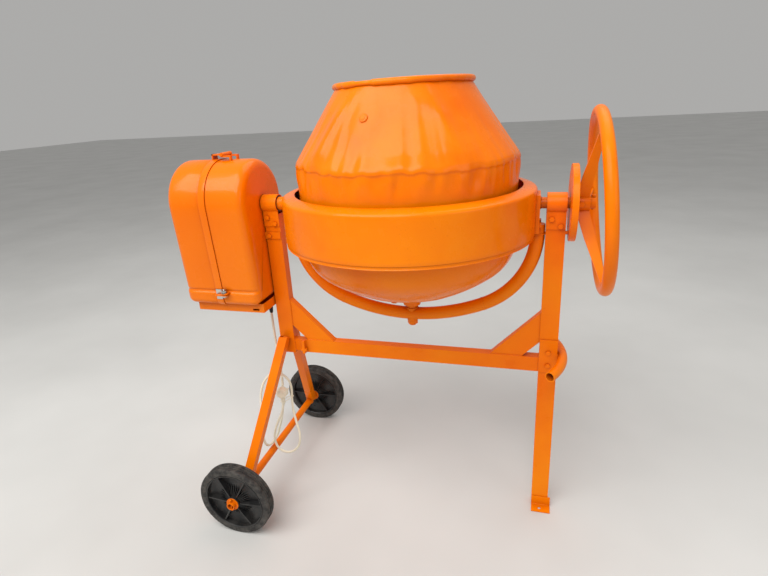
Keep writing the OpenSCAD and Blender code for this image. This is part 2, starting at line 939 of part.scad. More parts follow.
module power_cord() {
    last = len(cord_centres) - 1;
    sides = sides_up_to(last);
    rings = [
        for (i = [0:last], k = [0:cord_sides - 1])
            let (a = 360 * k / cord_sides, across = cross(heading(i), sides[i]))
                cord_centres[i] + cord_radius * (cos(a) * sides[i] + sin(a) * across)
    ];
    walls = [
        for (i = [0:last - 1], k = [0:cord_sides - 1])
            let (next = (k + 1) % cord_sides)
                [i * cord_sides + k, i * cord_sides + next,
                 (i + 1) * cord_sides + next, (i + 1) * cord_sides + k]
    ];
    start_cap = [for (k = [cord_sides - 1:-1:0]) k];
    end_cap = [for (k = [0:cord_sides - 1]) last * cord_sides + k];
    color(cord_cream) at_drum()
        polyhedron(points = rings, faces = concat([start_cap], [end_cap], walls));
}

// Angled two-pin plug: the lead enters from below, the pins point to the back
module power_plug() {
    pin_radius = 2.4;
    pin_spacing = 19;
    body_depth = 22;
    neck_drop = plug_centre[2] - plug_neck_bottom;
    color(cord_cream) at_drum(plug_centre[0], plug_centre[1], plug_centre[2]) {
        rotate([-90, 0, 0]) cylinder(r = plug_radius, h = body_depth, center = true);
        translate([0, 0, -neck_drop])
            cylinder(r = plug_neck_radius, h = neck_drop - plug_radius / 2);
        for (side = [-1, 1]) {
            translate([side * pin_spacing / 2, body_depth / 2, 0])
                rotate([-90, 0, 0]) cylinder(r = pin_radius, h = 19);
        }
    }
}

// ---------- tilting yoke ----------

module bent_bar(bend, from, span, radius) {
    rotate([90, 0, 0]) rotate([0, 0, from]) rotate_extrude(angle = span)
        translate([bend, 0]) circle(r = radius);
}

// Both corner bends and the wide bend between them, as solid bars
module yoke_bends(radius) {
    for (side = [0, 1]) {
        mirror([side, 0, 0]) translate([corner_x, 0, corner_z])
            bent_bar(corner_bend, -90 + wide_half_angle, 90 - wide_half_angle, radius);
    }
    translate([0, 0, yoke_bottom + wide_bend])
        bent_bar(wide_bend, -90 - wide_half_angle, 2 * wide_half_angle, radius);
}

// Short cylinder across each joint between two bends
module yoke_welds(radius, length) {
    for (side = [0, 1]) {
        mirror([side, 0, 0])
            translate([corner_x + corner_bend * sin(wide_half_angle), 0,
                       corner_z - corner_bend * cos(wide_half_angle)])
                rotate([0, 90 - wide_half_angle, 0])
                    cylinder(r = radius, h = length, center = true);
    }
}

module yoke_tube() {
    tube_bore = yoke_tube_radius - sheet;
    color(paint) at_drum() difference() {
        union() {
            yoke_bends(yoke_tube_radius);
            yoke_welds(yoke_tube_radius + 0.5, 6);
        }
        yoke_bends(tube_bore);
        yoke_welds(tube_bore + 0.5, 2);
        translate([0, 0, yoke_bottom - 30]) cylinder(r = spindle_boss, h = 60);
    }
}

// Plate and collar that carry a trunnion on the outside of the guard, drawn for +X
module trunnion_plate() {
    difference() {
        union() {
            translate([guard_radius - 12, -trunnion_plate_half_width, yoke_top + 6])
                cube([12 + trunnion_plate_sheet, 2 * trunnion_plate_half_width,
                      trunnion_plate_top - yoke_top - 6]);
            translate([corner_x + corner_bend, 0, yoke_top])
                cylinder(r = yoke_tube_radius, h = 26);
        }
        translate([0, 0, yoke_top - cut]) cylinder(r = guard_radius, h = 200);
        yoke_bolt_places() cylinder(r = bolt_radius + hole_gap, h = 40, center = true);
    }
}

module yoke_bolt_places() {
    for (y = [-yoke_bolt_y, yoke_bolt_y]) {
        translate([guard_radius + trunnion_plate_sheet, y, yoke_bolt_z])
            rotate([0, 90, 0]) children();
    }
}

module left_trunnion() {
    trunnion_end = -470;
    color(paint) at_drum() difference() {
        union() {
            mirror([1, 0, 0]) trunnion_plate();
            translate([trunnion_end, 0, tilt_height])
                x_bar(left_trunnion_radius, -guard_radius - 2 - trunnion_end);
        }
        translate([trunnion_end - cut, 0, tilt_height]) x_bar(bearing_radius, 200);
        translate([0, 0, yoke_top - cut]) cylinder(r = guard_radius, h = 200);
    }
}

module right_trunnion() {
    shaft_end = 494;
    slot_length = 24;
    color(paint) at_drum() difference() {
        union() {
            trunnion_plate();
            translate([guard_radius + 2, 0, tilt_height])
                x_bar(right_shaft_radius, shaft_end - guard_radius - 2);
        }
        translate([handwheel_bolt_x - slot_length / 2 - slide_travel / 2, -50, tilt_height - 4.8])
            cube([slot_length, 100, 9.6]);
        translate([488, 0, tilt_height]) cylinder(r = 3, h = 60, center = true);
        translate([0, 0, yoke_top - cut]) cylinder(r = guard_radius, h = 200);
    }
}

module gear_guard() {
    corner_x_mid = guard_radius - lip_corner;
    color(paint) at_drum() difference() {
        rotate_extrude()
            polygon(concat(
                [[guard_radius, guard_bottom]],
                arc(corner_x_mid, guard_shoulder, lip_corner, 0, 70, 4),
                [[lip_radius, lip_height], [lip_radius, lip_height - sheet]],
                arc(corner_x_mid, guard_shoulder, lip_corner - sheet, 70, 0, 4),
                [[guard_radius - sheet, guard_bottom]]
            ));
        translate([-guard_radius - 10, 0, tilt_height]) x_bar(bearing_radius, 40);
        for (side = [0, 1]) {
            mirror([side, 0, 0]) yoke_bolt_places()
                cylinder(r = bolt_radius + hole_gap, h = 60, center = true);
        }
    }
}

module guard_closing_ring() {
    color(paint) at_drum(0, 0, guard_bottom - closing_ring_sheet) difference() {
        cylinder(r = guard_radius - 1, h = closing_ring_sheet);
        translate([0, 0, -cut])
            cylinder(r = closing_ring_inner, h = closing_ring_sheet + 2 * cut);
    }
}

module yoke_bolts() {
    color(paint) at_drum() {
        for (side = [0, 1]) {
            mirror([side, 0, 0]) yoke_bolt_places()
                hex_bolt(trunnion_plate_sheet + sheet + 2);
        }
        translate([488, 0, tilt_height - 18]) cylinder(r = 2.9, h = 36);
        translate([488, 0, tilt_height + 16]) cylinder(r = 6, h = 5, $fn = 6);
        translate([0, 0, nut_bottom]) difference() {
            cylinder(r = 16, h = nut_height, $fn = 6);
            translate([0, 0, -cut]) cylinder(r = spindle_shank, h = nut_height + 2 * cut);
        }
    }
}

// Upright spindle that the bowl turns on, clamped through the yoke tube
module drum_spindle() {
    boss_bottom = yoke_bottom - yoke_tube_radius - 2;
    boss_top = hub_bottom - 2;
    color(paint) at_drum() {
        translate([0, 0, nut_bottom - 4])
            cylinder(r = spindle_shank, h = boss_bottom - nut_bottom + 4);
        translate([0, 0, boss_bottom]) cylinder(r = spindle_boss, h = boss_top - boss_bottom);
        translate([0, 0, boss_top]) cylinder(r = spindle_radius, h = spindle_top - boss_top);
    }
}

module pinion_bearings() {
    color(bare_steel) at_drum(0, 0, tilt_height) {
        translate([-378, 0, 0])
            x_tube(bearing_radius, pinion_shaft_radius + running_gap, 20);
        translate([-469, 0, 0])
            x_tube(bearing_radius, pinion_shaft_radius + running_gap, 20);
    }
}

// ---------- drum ----------

// Side of the bowl's section, outer skin for inset 0
function bowl_side(inset) = concat(
    arc(0, bowl_bottom + dish_bend, dish_bend - inset, -90, -90 + knuckle_angle, 10),
    arc(drum_radius - knuckle_bend, knuckle_z, knuckle_bend - inset, -90 + knuckle_angle, 0, 8),
    [[drum_radius - inset, bowl_top]]
);

function reversed(list) = [for (i = [len(list) - 1:-1:0]) list[i]];

module drum_bowl() {
    color(paint) at_drum() {
        difference() {
            union() {
                rotate_extrude() polygon(concat(bowl_side(0), reversed(bowl_side(sheet))));
                translate([0, 0, hub_bottom]) cylinder(r = hub_radius, h = hub_top - hub_bottom);
            }
            translate([0, 0, hub_bottom - cut])
                cylinder(r = spindle_radius + running_gap, h = spindle_top + 3 - hub_bottom);
            gear_bolt_places() cylinder(r = bolt_radius + hole_gap, h = 60, center = true);
            dish_bolt_places() cylinder(r = bolt_radius + hole_gap, h = 40, center = true);
        }
    }
}

module gear_bolt_places() {
    for (i = [0:gear_bolt_count - 1]) {
        rotate([0, 0, 360 * (i + 0.5) / gear_bolt_count])
            translate([ring_gear_flange, 0, gear_bolt_height]) rotate([0, 90, 0]) children();
    }
}

// Blade bolts through the cone
module cone_bolt_places() {
    for (azimuth = blade_azimuths) {
        rotate([0, 0, azimuth]) translate([blade_bolt_radius, 0, blade_bolt_height])
            rotate([0, 90 - cone_angle, 0]) children();
    }
}

// Blade bolts through the bottom of the bowl
module dish_bolt_places() {
    for (azimuth = blade_azimuths) {
        rotate([0, 0, azimuth])
            translate([blade_foot_radius, 0,
                       bowl_bottom + dish_bend * (1 - cos(dish_bolt_angle))])
                rotate([0, 180 - dish_bolt_angle, 0]) children();
    }
}

module drum_cone() {
    color(paint) at_drum() difference() {
        union() {
            rotate_extrude()
                polygon([
                    [drum_radius, bowl_top],
                    [drum_radius, shoulder_height],
                    [cone_top_radius, cone_top],
                    [cone_top_radius - sheet, cone_top],
                    [drum_radius - sheet, shoulder_height],
                    [drum_radius - sheet, bowl_top]
                ]);
            translate([0, 0, mouth_height]) rotate_extrude()
                translate([mouth_radius, 0]) circle(r = bead_radius);
        }
        cone_bolt_places() cylinder(r = bolt_radius + hole_gap, h = 40, center = true);
    }
}

// Straight-sided tooth section, tip up, middle of the tooth at x = 0, pitch line at y = 0
module tooth_section() {
    polygon([
        [-tooth_root_half, -tooth_dedendum - cut], [tooth_root_half, -tooth_dedendum - cut],
        [tooth_root_half, -tooth_dedendum], [tooth_pitch_half, 0],
        [tooth_tip_half, tooth_addendum], [-tooth_tip_half, tooth_addendum],
        [-tooth_pitch_half, 0], [-tooth_root_half, -tooth_dedendum]
    ]);
}

module ring_gear() {
    root_plane = pitch_plane - tooth_dedendum;
    flange_bottom = 906;
    color(casting) at_drum() difference() {
        union() {
            translate([0, 0, root_plane - ring_gear_web])
                cylinder(r = ring_gear_outer, h = ring_gear_web);
            translate([0, 0, flange_bottom])
                cylinder(r = ring_gear_flange, h = root_plane - flange_bottom);
            for (i = [0:ring_teeth - 1]) {
                rotate([0, 0, 360 * i / ring_teeth])
                    translate([gear_face_inner, 0, pitch_plane])
                        rotate([90, 0, 90]) linear_extrude(gear_face_outer - gear_face_inner)
                            tooth_section();
            }
        }
        translate([0, 0, flange_bottom - cut]) cylinder(r = drum_radius + 0.2, h = 100);
        gear_bolt_places() cylinder(r = bolt_radius + hole_gap, h = 20, center = true);
    }
}

module drum_bolts() {
    color(paint) at_drum() {
        gear_bolt_places() hex_bolt(ring_gear_flange - drum_radius + sheet + 0.5);
        cone_bolt_places() hex_bolt(sheet + blade_sheet + 1.5);
        dish_bolt_places() hex_bolt(sheet + blade_sheet + 1.5);
    }
}

// Upright blade with a bolted flange at its top and foot
module mixing_blade() {
    flange_gap = sheet + 1;
    rotate([90, 0, 0]) translate([0, 0, 16]) linear_extrude(blade_sheet)
        polygon([
            [106, 729], [134, 739], [170, 752], [262, 815], [288, 880], [288, 1100],
            [247, 1184], [222, 1180], [232, 1090], [227, 900], [190, 840], [112, 770]
        ]);
    translate([blade_foot_radius, 0, bowl_bottom + dish_bend * (1 - cos(dish_bolt_angle))])
        rotate([0, 180 - dish_bolt_angle, 0])
            translate([-14, -24, -flange_gap - blade_sheet]) cube([28, 36, blade_sheet]);
    translate([blade_bolt_radius, 0, blade_bolt_height])
        rotate([0, 90 - cone_angle, 0])
            translate([-12, -20, -flange_gap - blade_sheet]) cube([60, 32, blade_sheet]);
}

module mixing_blades() {
    color(paint) at_drum() difference() {
        for (azimuth = blade_azimuths) {
            rotate([0, 0, azimuth]) mixing_blade();
        }
        cone_bolt_places() cylinder(r = bolt_radius + hole_gap, h = 60, center = true);
        dish_bolt_places() cylinder(r = bolt_radius + hole_gap, h = 60, center = true);
    }
}

// ---------- drive ----------

module pinion_shaft() {
    color(bare_steel) at_drum(-544, 0, tilt_height) x_bar(pinion_shaft_radius, 236);
}

// Pinion with a gap between two teeth pointing straight down at the ring gear
module drive_pinion() {
    root_radius = pinion_pitch_radius - tooth_dedendum;
    color(casting) at_drum(-gear_face_outer, 0, tilt_height) rotate([90, 0, 90])
        difference() {
            linear_extrude(gear_face_outer - gear_face_inner)
                union() {
                    circle(r = root_radius + 0.5);
                    for (i = [0:pinion_teeth - 1]) {
                        rotate(360 * (i + 0.5) / pinion_teeth)
                            translate([0, pinion_pitch_radius]) tooth_section();
                    }
                }
            translate([0, 0, -cut]) cylinder(r = pinion_shaft_radius, h = 100);
        }
}

// ---------- handwheel ----------

module leaning() {
    translate([rim_plane, 0, tilt_height]) rotate([0, -handwheel_lean, 0]) children();
}

module rim_solid(radius) {
    leaning() rotate([0, 90, 0]) rotate_extrude()
        translate([handwheel_radius, 0]) circle(r = radius);
}

module handwheel_rim() {
    color(paint) at_drum() difference() {
        rim_solid(rim_tube_radius);
        rim_solid(rim_tube_radius - sheet);
    }
}

// Hub with three upright spokes that narrow towards the rim
module handwheel_spider() {
    color(paint) at_drum() difference() {
        union() {
            translate([hub_left, 0, tilt_height]) x_bar(hub_outer, hub_right - hub_left);
            leaning()
                for (angle = spoke_angles) {
                    rotate([angle + 90, 0, 0])
                        rotate([90, 0, 0]) translate([0, 0, -spoke_sheet / 2])
                            linear_extrude(spoke_sheet)
                                polygon([[-62, 14], [-30, 14], [2, 214], [-12, 214], [-46, 90]]);
                }
        }
        rim_solid(rim_tube_radius);
        translate([hub_left - 60, 0, tilt_height])
            x_bar(right_shaft_radius + running_gap, 200);
        translate([hub_left - 60, 0, tilt_height]) x_bar(hub_outer + 100, 60 + disc_sheet);
        translate([handwheel_bolt_x, 0, tilt_height]) {
            y_bar(bolt_radius + hole_gap, 80);
            translate([0, hub_outer, 0]) y_bar(bolt_head_radius + 2, 20);
        }
    }
}

// Dished disc with a ring of catch holes
module locking_disc() {
    hole_count = 12;
    color(paint) at_drum(hub_left, 0, tilt_height) difference() {
        x_bar(disc_radius, disc_flange);
        translate([disc_sheet, 0, 0]) x_bar(disc_radius - disc_sheet, disc_flange);
        translate([-cut, 0, 0]) x_bar(right_shaft_radius + running_gap, disc_flange);
        for (i = [0:hole_count - 1]) {
            rotate([360 * (i + 0.75) / hole_count, 0, 0])
                translate([-cut, peg_circle, 0]) x_bar(peg_radius + 2, disc_flange);
        }
    }
}

module handwheel_bolt() {
    color(paint) at_drum(handwheel_bolt_x, 0, tilt_height) {
        y_bar(bolt_radius, 2 * hub_outer + 4);
        for (side = [0, 1]) {
            mirror([0, side, 0]) translate([0, -hub_outer - 1, 0]) rotate([90, 0, 0])
                cylinder(r = bolt_head_radius, h = bolt_head_height, $fn = 6);
        }
    }
}

// ---------- wheels ----------

// Wheel on the axle's front end: grooved tread, thin web and six ribs on each side
module wheel() {
    rim_depth = 22;
    half = wheel_width / 2;
    inner = wheel_radius - rim_depth;
    hub = 22;
    groove = 3;
    rib_count = 6;
    difference() {
        union() {
            rotate([90, 0, 0]) rotate_extrude()
                polygon([
                    [axle_radius + running_gap, -hub_half_width],
                    [hub, -hub_half_width], [hub, -3], [inner, -3], [inner, -half + 2],
                    [inner + 4, -half], [wheel_radius - 5, -half], [wheel_radius, -half + 6],
                    [wheel_radius, -8], [wheel_radius - groove, -7], [wheel_radius - groove, -5],
                    [wheel_radius, -4], [wheel_radius, 4], [wheel_radius - groove, 5],
                    [wheel_radius - groove, 7], [wheel_radius, 8], [wheel_radius, half - 6],
                    [wheel_radius - 5, half], [inner + 4, half], [inner, half - 2],
                    [inner, 3], [hub, 3], [hub, hub_half_width],
                    [axle_radius + running_gap, hub_half_width]
                ]);
            for (i = [0:rib_count - 1]) {
                rotate([0, 360 * (i + 0.2) / rib_count, 0])
                    translate([hub - 3, -half + 5, -2])
                        cube([inner - hub + 4, 2 * half - 10, 4]);
            }
        }
        y_bar(axle_radius + running_gap, 200);
    }
}

module front_wheel() {
    color(black_plastic) at_drum(-axle_reach, -wheel_middle, wheel_radius) wheel();
}

module rear_wheel() {
    color(black_plastic) at_drum(-axle_reach, wheel_middle, wheel_radius) wheel();
}

// ---------- sub-parts ----------

left_post();
right_post();
right_leg();
joint_plate();
frame_bolts();
foot();
cross_beam();
beam_socket();
left_brace();
right_brace();
front_wheel_leg();
rear_wheel_leg();
axle_tube();
axle_washers();
cotter_pins();
transport_handle();
left_bearing_bracket();
right_bearing_bracket();
left_bearing_bush();
right_bearing_bush();
housing_band();
catch_peg();
housing_shell();
housing_base();
cover_hinge();
motor();
motor_shelf();
drive_belt();
switch_box();
cord_gland();
power_cord();
power_plug();
yoke_tube();
left_trunnion();
right_trunnion();
gear_guard();
guard_closing_ring();
yoke_bolts();
drum_spindle();
pinion_bearings();
drum_bowl();
drum_cone();
ring_gear();
drum_bolts();
mixing_blades();
pinion_shaft();
drive_pinion();
large_pulley();
motor_shaft();
motor_pulley();
handwheel_spider();
handwheel_rim();
locking_disc();
handwheel_bolt();
housing_cover();
cover_bolt();
front_wheel();
rear_wheel();
start_button();
stop_button();
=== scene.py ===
"""Concrete mixer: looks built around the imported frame. Metres, in the frame's own axes."""

import json
import math

import bmesh
import bpy
from mathutils import Euler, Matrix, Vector, noise


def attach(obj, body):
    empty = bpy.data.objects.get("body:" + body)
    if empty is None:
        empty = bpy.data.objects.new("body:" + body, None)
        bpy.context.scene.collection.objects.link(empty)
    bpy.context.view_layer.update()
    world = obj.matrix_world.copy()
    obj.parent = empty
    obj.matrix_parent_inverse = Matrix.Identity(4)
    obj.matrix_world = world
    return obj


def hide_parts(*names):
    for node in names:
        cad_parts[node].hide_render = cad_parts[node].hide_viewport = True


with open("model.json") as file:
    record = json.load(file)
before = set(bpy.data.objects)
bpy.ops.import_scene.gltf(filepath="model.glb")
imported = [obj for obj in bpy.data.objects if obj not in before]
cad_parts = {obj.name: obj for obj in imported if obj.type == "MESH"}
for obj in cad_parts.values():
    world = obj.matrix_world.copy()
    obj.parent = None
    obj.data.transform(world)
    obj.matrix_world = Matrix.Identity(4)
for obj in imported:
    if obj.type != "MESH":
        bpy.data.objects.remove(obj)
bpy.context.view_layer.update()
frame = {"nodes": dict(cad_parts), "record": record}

DRUM_X = 0.087          # drum axis
TILT_Z = 0.980          # tilt axis height
MM = 0.001

# ---------- camera and light ----------

CAMERA_PLACE = (0.4293, -1.4053, 1.2532)
CAMERA_TURN = (70.01, 3.16, 15.81)      # degrees about X, Y, Z
CAMERA_LENS = 24.02                     # millimetres
SENSOR_WIDTH = 36                       # millimetres

LIGHT_AIM = (DRUM_X, 0, 0.8)
# Name, place, width and depth, watts, colour
LIGHTS = (
    ("key", (-0.9, -2.3, 4.0), (4.4, 3.0), 190, (1.0, 0.98, 0.94)),
    ("sky", (0.6, 1.6, 4.2), (3.0, 3.0), 45, (1.0, 0.99, 0.97)),
    ("fill", (3.4, -1.8, 1.8), (2.0, 2.0), 14, (1.0, 0.98, 0.95)),
)
WORLD_COLOUR = (0.92, 0.91, 0.89, 1)
WORLD_STRENGTH = 0.45


def add_camera():
    data = bpy.data.cameras.new("camera")
    data.lens = CAMERA_LENS
    data.sensor_width = SENSOR_WIDTH
    camera = bpy.data.objects.new("camera", data)
    camera.location = CAMERA_PLACE
    camera.rotation_euler = Euler([math.radians(angle) for angle in CAMERA_TURN])
    bpy.context.scene.collection.objects.link(camera)
    bpy.context.scene.camera = camera


def add_area_light(name, place, size, power, colour):
    data = bpy.data.lights.new(name, "AREA")
    data.shape = "RECTANGLE"
    data.size, data.size_y = size
    data.energy = power
    data.color = colour
    light = bpy.data.objects.new(name, data)
    light.location = place
    aim = Vector(LIGHT_AIM) - Vector(place)
    light.rotation_euler = aim.to_track_quat("-Z", "Y").to_euler()
    bpy.context.scene.collection.objects.link(light)


def add_studio():
    for light in LIGHTS:
        add_area_light(*light)
    world = bpy.data.worlds.new("studio")
    world.use_nodes = True
    background = world.node_tree.nodes["Background"]
    background.inputs["Color"].default_value = WORLD_COLOUR
    background.inputs["Strength"].default_value = WORLD_STRENGTH
    bpy.context.scene.world = world
    bpy.context.scene.view_settings.view_transform = "Standard"


# ---------- materials ----------

# The Mix node's sockets for colours, which share their names with its other kinds
MIX_FACTOR = 0
MIX_FIRST = 6
MIX_SECOND = 7
MIX_RESULT = 2
CREVICE_SAMPLES = 4
COAT_ROUGHNESS = 0.12
PAINT_SPECULAR = 0.12


class Nodes:
    """A material's node tree with short calls for what is made most."""

    def __init__(self, name):
        self.material = bpy.data.materials.new(name)
        self.material.use_nodes = True
        self.tree = self.material.node_tree
        self.shader = self.tree.nodes["Principled BSDF"]
        self.place = self.tree.nodes.new("ShaderNodeTexCoord").outputs["Object"]

    def link(self, source, target):
        self.tree.links.new(source, target)

    def stretched(self, scale):
        mapping = self.tree.nodes.new("ShaderNodeMapping")
        mapping.inputs["Scale"].default_value = scale
        self.link(self.place, mapping.inputs["Vector"])
        return mapping.outputs["Vector"]

    def noise(self, scale, detail=3, roughness=0.55, place=None):
        node = self.tree.nodes.new("ShaderNodeTexNoise")
        node.inputs["Scale"].default_value = scale
        node.inputs["Detail"].default_value = detail
        node.inputs["Roughness"].default_value = roughness
        self.link(place or self.place, node.inputs["Vector"])
        return node.outputs["Fac"]

    def ramp(self, value, stops):
        node = self.tree.nodes.new("ShaderNodeValToRGB")
        elements = node.color_ramp.elements
        while len(elements) < len(stops):
            elements.new(0.5)
        for element, (position, colour) in zip(elements, stops):
            element.position = position
            element.color = (*colour, 1)
        self.link(value, node.inputs["Fac"])
        return node.outputs["Color"]

    def two_tone(self, scale, detail, dark, light):
        """Dark and light patches."""
        return self.ramp(self.noise(scale, detail), [(0.3, dark), (0.7, light)])

    def spread(self, value, low, high, start=0.3, end=0.7):
        """Maps start to low and end to high."""
        node = self.tree.nodes.new("ShaderNodeMapRange")
        node.inputs["From Min"].default_value = start
        node.inputs["From Max"].default_value = end
        node.inputs["To Min"].default_value = low
        node.inputs["To Max"].default_value = high
        self.link(value, node.inputs["Value"])
        return node.outputs["Result"]

    def mix(self, factor, first, second):
        """Blends the colour on a socket into a constant colour."""
        node = self.tree.nodes.new("ShaderNodeMix")
        node.data_type = "RGBA"
        self.link(factor, node.inputs[MIX_FACTOR])
        self.link(first, node.inputs[MIX_FIRST])
        node.inputs[MIX_SECOND].default_value = (*second, 1)
        return node.outputs[MIX_RESULT]

    def speckled(self, colour, pattern, most, start, end, tint):
        """Mixes a tint into the colour where the pattern is high."""
        return self.mix(self.spread(pattern, 0.0, most, start, end), colour, tint)

    def painted_crevice_shade(self, colour, reach, most, start, end, tint):
        """Mixes a tint into the colour where surfaces meet within reach: painted shade in crevices."""
        node = self.tree.nodes.new("ShaderNodeAmbientOcclusion")
        node.inputs["Distance"].default_value = reach
        node.samples = CREVICE_SAMPLES
        return self.mix(self.spread(node.outputs["AO"], most, 0.0, start, end), colour, tint)

    def bump(self, height, strength, distance, before=None):
        node = self.tree.nodes.new("ShaderNodeBump")
        node.inputs["Strength"].default_value = strength
        node.inputs["Distance"].default_value = distance
        self.link(height, node.inputs["Height"])
        if before:
            self.link(before, node.inputs["Normal"])
        return node.outputs["Normal"]

    def finish(self, colour, roughness, normal, metallic=0.0, coat=0.0, specular=0.5):
        inputs = self.shader.inputs
        self.link(colour, inputs["Base Color"])
        self.link(roughness, inputs["Roughness"])
        self.link(normal, inputs["Normal"])
        inputs["Metallic"].default_value = metallic
        inputs["Coat Weight"].default_value = coat
        inputs["Coat Roughness"].default_value = COAT_ROUGHNESS
        inputs["Specular IOR Level"].default_value = specular
        return self.material


ORANGE = (0.92, 0.200, 0.000)
DEEP_ORANGE = (0.86, 0.150, 0.000)
BRIGHT_ORANGE = (0.95, 0.245, 0.000)
SPRAYED_DARK = (0.86, 0.160, 0.000)
SPRAYED_LIGHT = (0.92, 0.210, 0.000)
ORANGE_SPECKS = (0.62, 0.07, 0.002)
ORANGE_DUST = (0.78, 0.42, 0.18)
# Tints of painted shade, mixed in where surfaces meet: the next three
BRUSHED_SHADE_TINT = (0.30, 0.035, 0.004)
SPRAYED_SHADE_TINT = (0.32, 0.035, 0.003)
METAL_SHADE_TINT = (0.05, 0.04, 0.035)
RUST = (0.16, 0.055, 0.02)
ROAD_DUST = (0.17, 0.155, 0.135)
PALE_DUST = (0.21, 0.19, 0.165)


def brushed_paint(name, roughness, streaks, coat, shade_amount=0.55):
    """Orange gloss laid on by brush: thick and thin places, streaks, painted shade in crevices."""
    n = Nodes(name)
    patches = n.noise(3.5, 4)
    colour = n.ramp(patches, [(0.32, DEEP_ORANGE), (0.5, ORANGE), (0.72, BRIGHT_ORANGE)])
    colour = n.speckled(colour, n.noise(260, 2, 0.7), 0.35, start=0.62, end=0.78, tint=ORANGE_SPECKS)
    # Painted shade: dark red mixed in where surfaces meet within 3 cm
    colour = n.painted_crevice_shade(colour, 0.03, shade_amount, start=0.35, end=0.95, tint=BRUSHED_SHADE_TINT)
    strokes = n.noise(60, 3, 0.6, n.stretched((1.0, 1.0, 0.12)))
    shine = n.spread(n.noise(14, 4), roughness - 0.07, roughness + 0.12)
    normal = n.bump(n.noise(34, 2), strength=0.35, distance=0.0012)
    normal = n.bump(strokes, strength=streaks, distance=0.0006, before=normal)
    normal = n.bump(n.noise(420, 2), strength=0.12, distance=0.0003, before=normal)
    return n.finish(colour, shine, normal, coat=coat, specular=PAINT_SPECULAR)


def smooth_paint(name):
    """Sprayed gloss of the motor housing, with a slight orange peel and fine dust."""
    n = Nodes(name)
    colour = n.two_tone(2.2, 3, SPRAYED_DARK, SPRAYED_LIGHT)
    colour = n.speckled(colour, n.noise(180, 3, 0.75), 0.12, start=0.60, end=0.80, tint=ORANGE_DUST)
    # Painted shade: dark red mixed in where surfaces meet within 2 cm
    colour = n.painted_crevice_shade(colour, 0.02, 0.5, start=0.4, end=0.95, tint=SPRAYED_SHADE_TINT)
    shine = n.spread(n.noise(9, 4), 0.20, 0.33)
    normal = n.bump(n.noise(170, 2), strength=0.10, distance=0.0004)
    normal = n.bump(n.noise(11, 2), strength=0.20, distance=0.0010, before=normal)
    return n.finish(colour, shine, normal, coat=0.24, specular=PAINT_SPECULAR)


def bare_metal(name, light, dark, smoothest, roughest, grain=(1.0, 1.0, 1.0)):
    n = Nodes(name)
    colour = n.two_tone(24, 4, dark, light)
    # Painted shade: near black mixed in where surfaces meet within 8 mm
    colour = n.painted_crevice_shade(colour, 0.008, 0.7, start=0.3, end=0.95, tint=METAL_SHADE_TINT)
    shine = n.spread(n.noise(60, 3), smoothest, roughest)
    normal = n.bump(n.noise(500, 2, 0.6, n.stretched(grain)), strength=0.25, distance=0.0002)
    return n.finish(colour, shine, normal, metallic=1.0)


def cast_iron(name):
    n = Nodes(name)
    colour = n.two_tone(40, 5, (0.045, 0.043, 0.042), (0.13, 0.125, 0.12))
    colour = n.speckled(colour, n.noise(12, 5, 0.7), 0.45, start=0.58, end=0.72, tint=RUST)
    shine = n.spread(n.noise(90, 3), 0.55, 0.8)
    normal = n.bump(n.noise(620, 3, 0.7), strength=0.6, distance=0.0006)
    return n.finish(colour, shine, normal, metallic=0.75)


def black_moulding(name, roughness, dust_amount):
    """Black plastic or rubber with patches of pale dust."""
    n = Nodes(name)
    colour = n.two_tone(30, 4, (0.005, 0.005, 0.006), (0.014, 0.014, 0.015))
    colour = n.speckled(colour, n.noise(22, 6, 0.7), dust_amount, start=0.44, end=0.70, tint=PALE_DUST)
    shine = n.spread(n.noise(50, 3), roughness - 0.08, roughness + 0.15)
    normal = n.bump(n.noise(700, 2), strength=0.3, distance=0.0003)
    return n.finish(colour, shine, normal)


def tyre_rubber(name):
    """Hard tyre, grey with road dust."""
    n = Nodes(name)
    colour = n.two_tone(18, 5, (0.011, 0.010, 0.010), (0.030, 0.028, 0.027))
    colour = n.speckled(colour, n.noise(48, 6, 0.75), 0.55, start=0.42, end=0.70, tint=ROAD_DUST)
    shine = n.spread(n.noise(70, 3), 0.62, 0.9)
    normal = n.bump(n.noise(300, 4, 0.7), strength=0.5, distance=0.0006)
    return n.finish(colour, shine, normal)


def plain_plastic(name, light, dark, roughness):
    n = Nodes(name)
    colour = n.two_tone(28, 4, dark, light)
    # Painted shade: a darker copy of the plastic where surfaces meet within 4 mm
    plastic_shade_tint = tuple(0.45 * value for value in dark)
    colour = n.painted_crevice_shade(colour, 0.004, 0.3, start=0.2, end=0.9, tint=plastic_shade_tint)
    shine = n.spread(n.noise(60, 3), roughness - 0.08, roughness + 0.12)
    normal = n.bump(n.noise(480, 2), strength=0.25, distance=0.0002)
    return n.finish(colour, shine, normal)


def floor_material():
    n = Nodes("floor")
    colour = n.two_tone(1.4, 3, (0.60, 0.60, 0.59), (0.66, 0.66, 0.65))
    shine = n.spread(n.noise(6, 3), 0.65, 0.8)
    normal = n.bump(n.noise(120, 3), strength=0.08, distance=0.0005)
    return n.finish(colour, shine, normal)


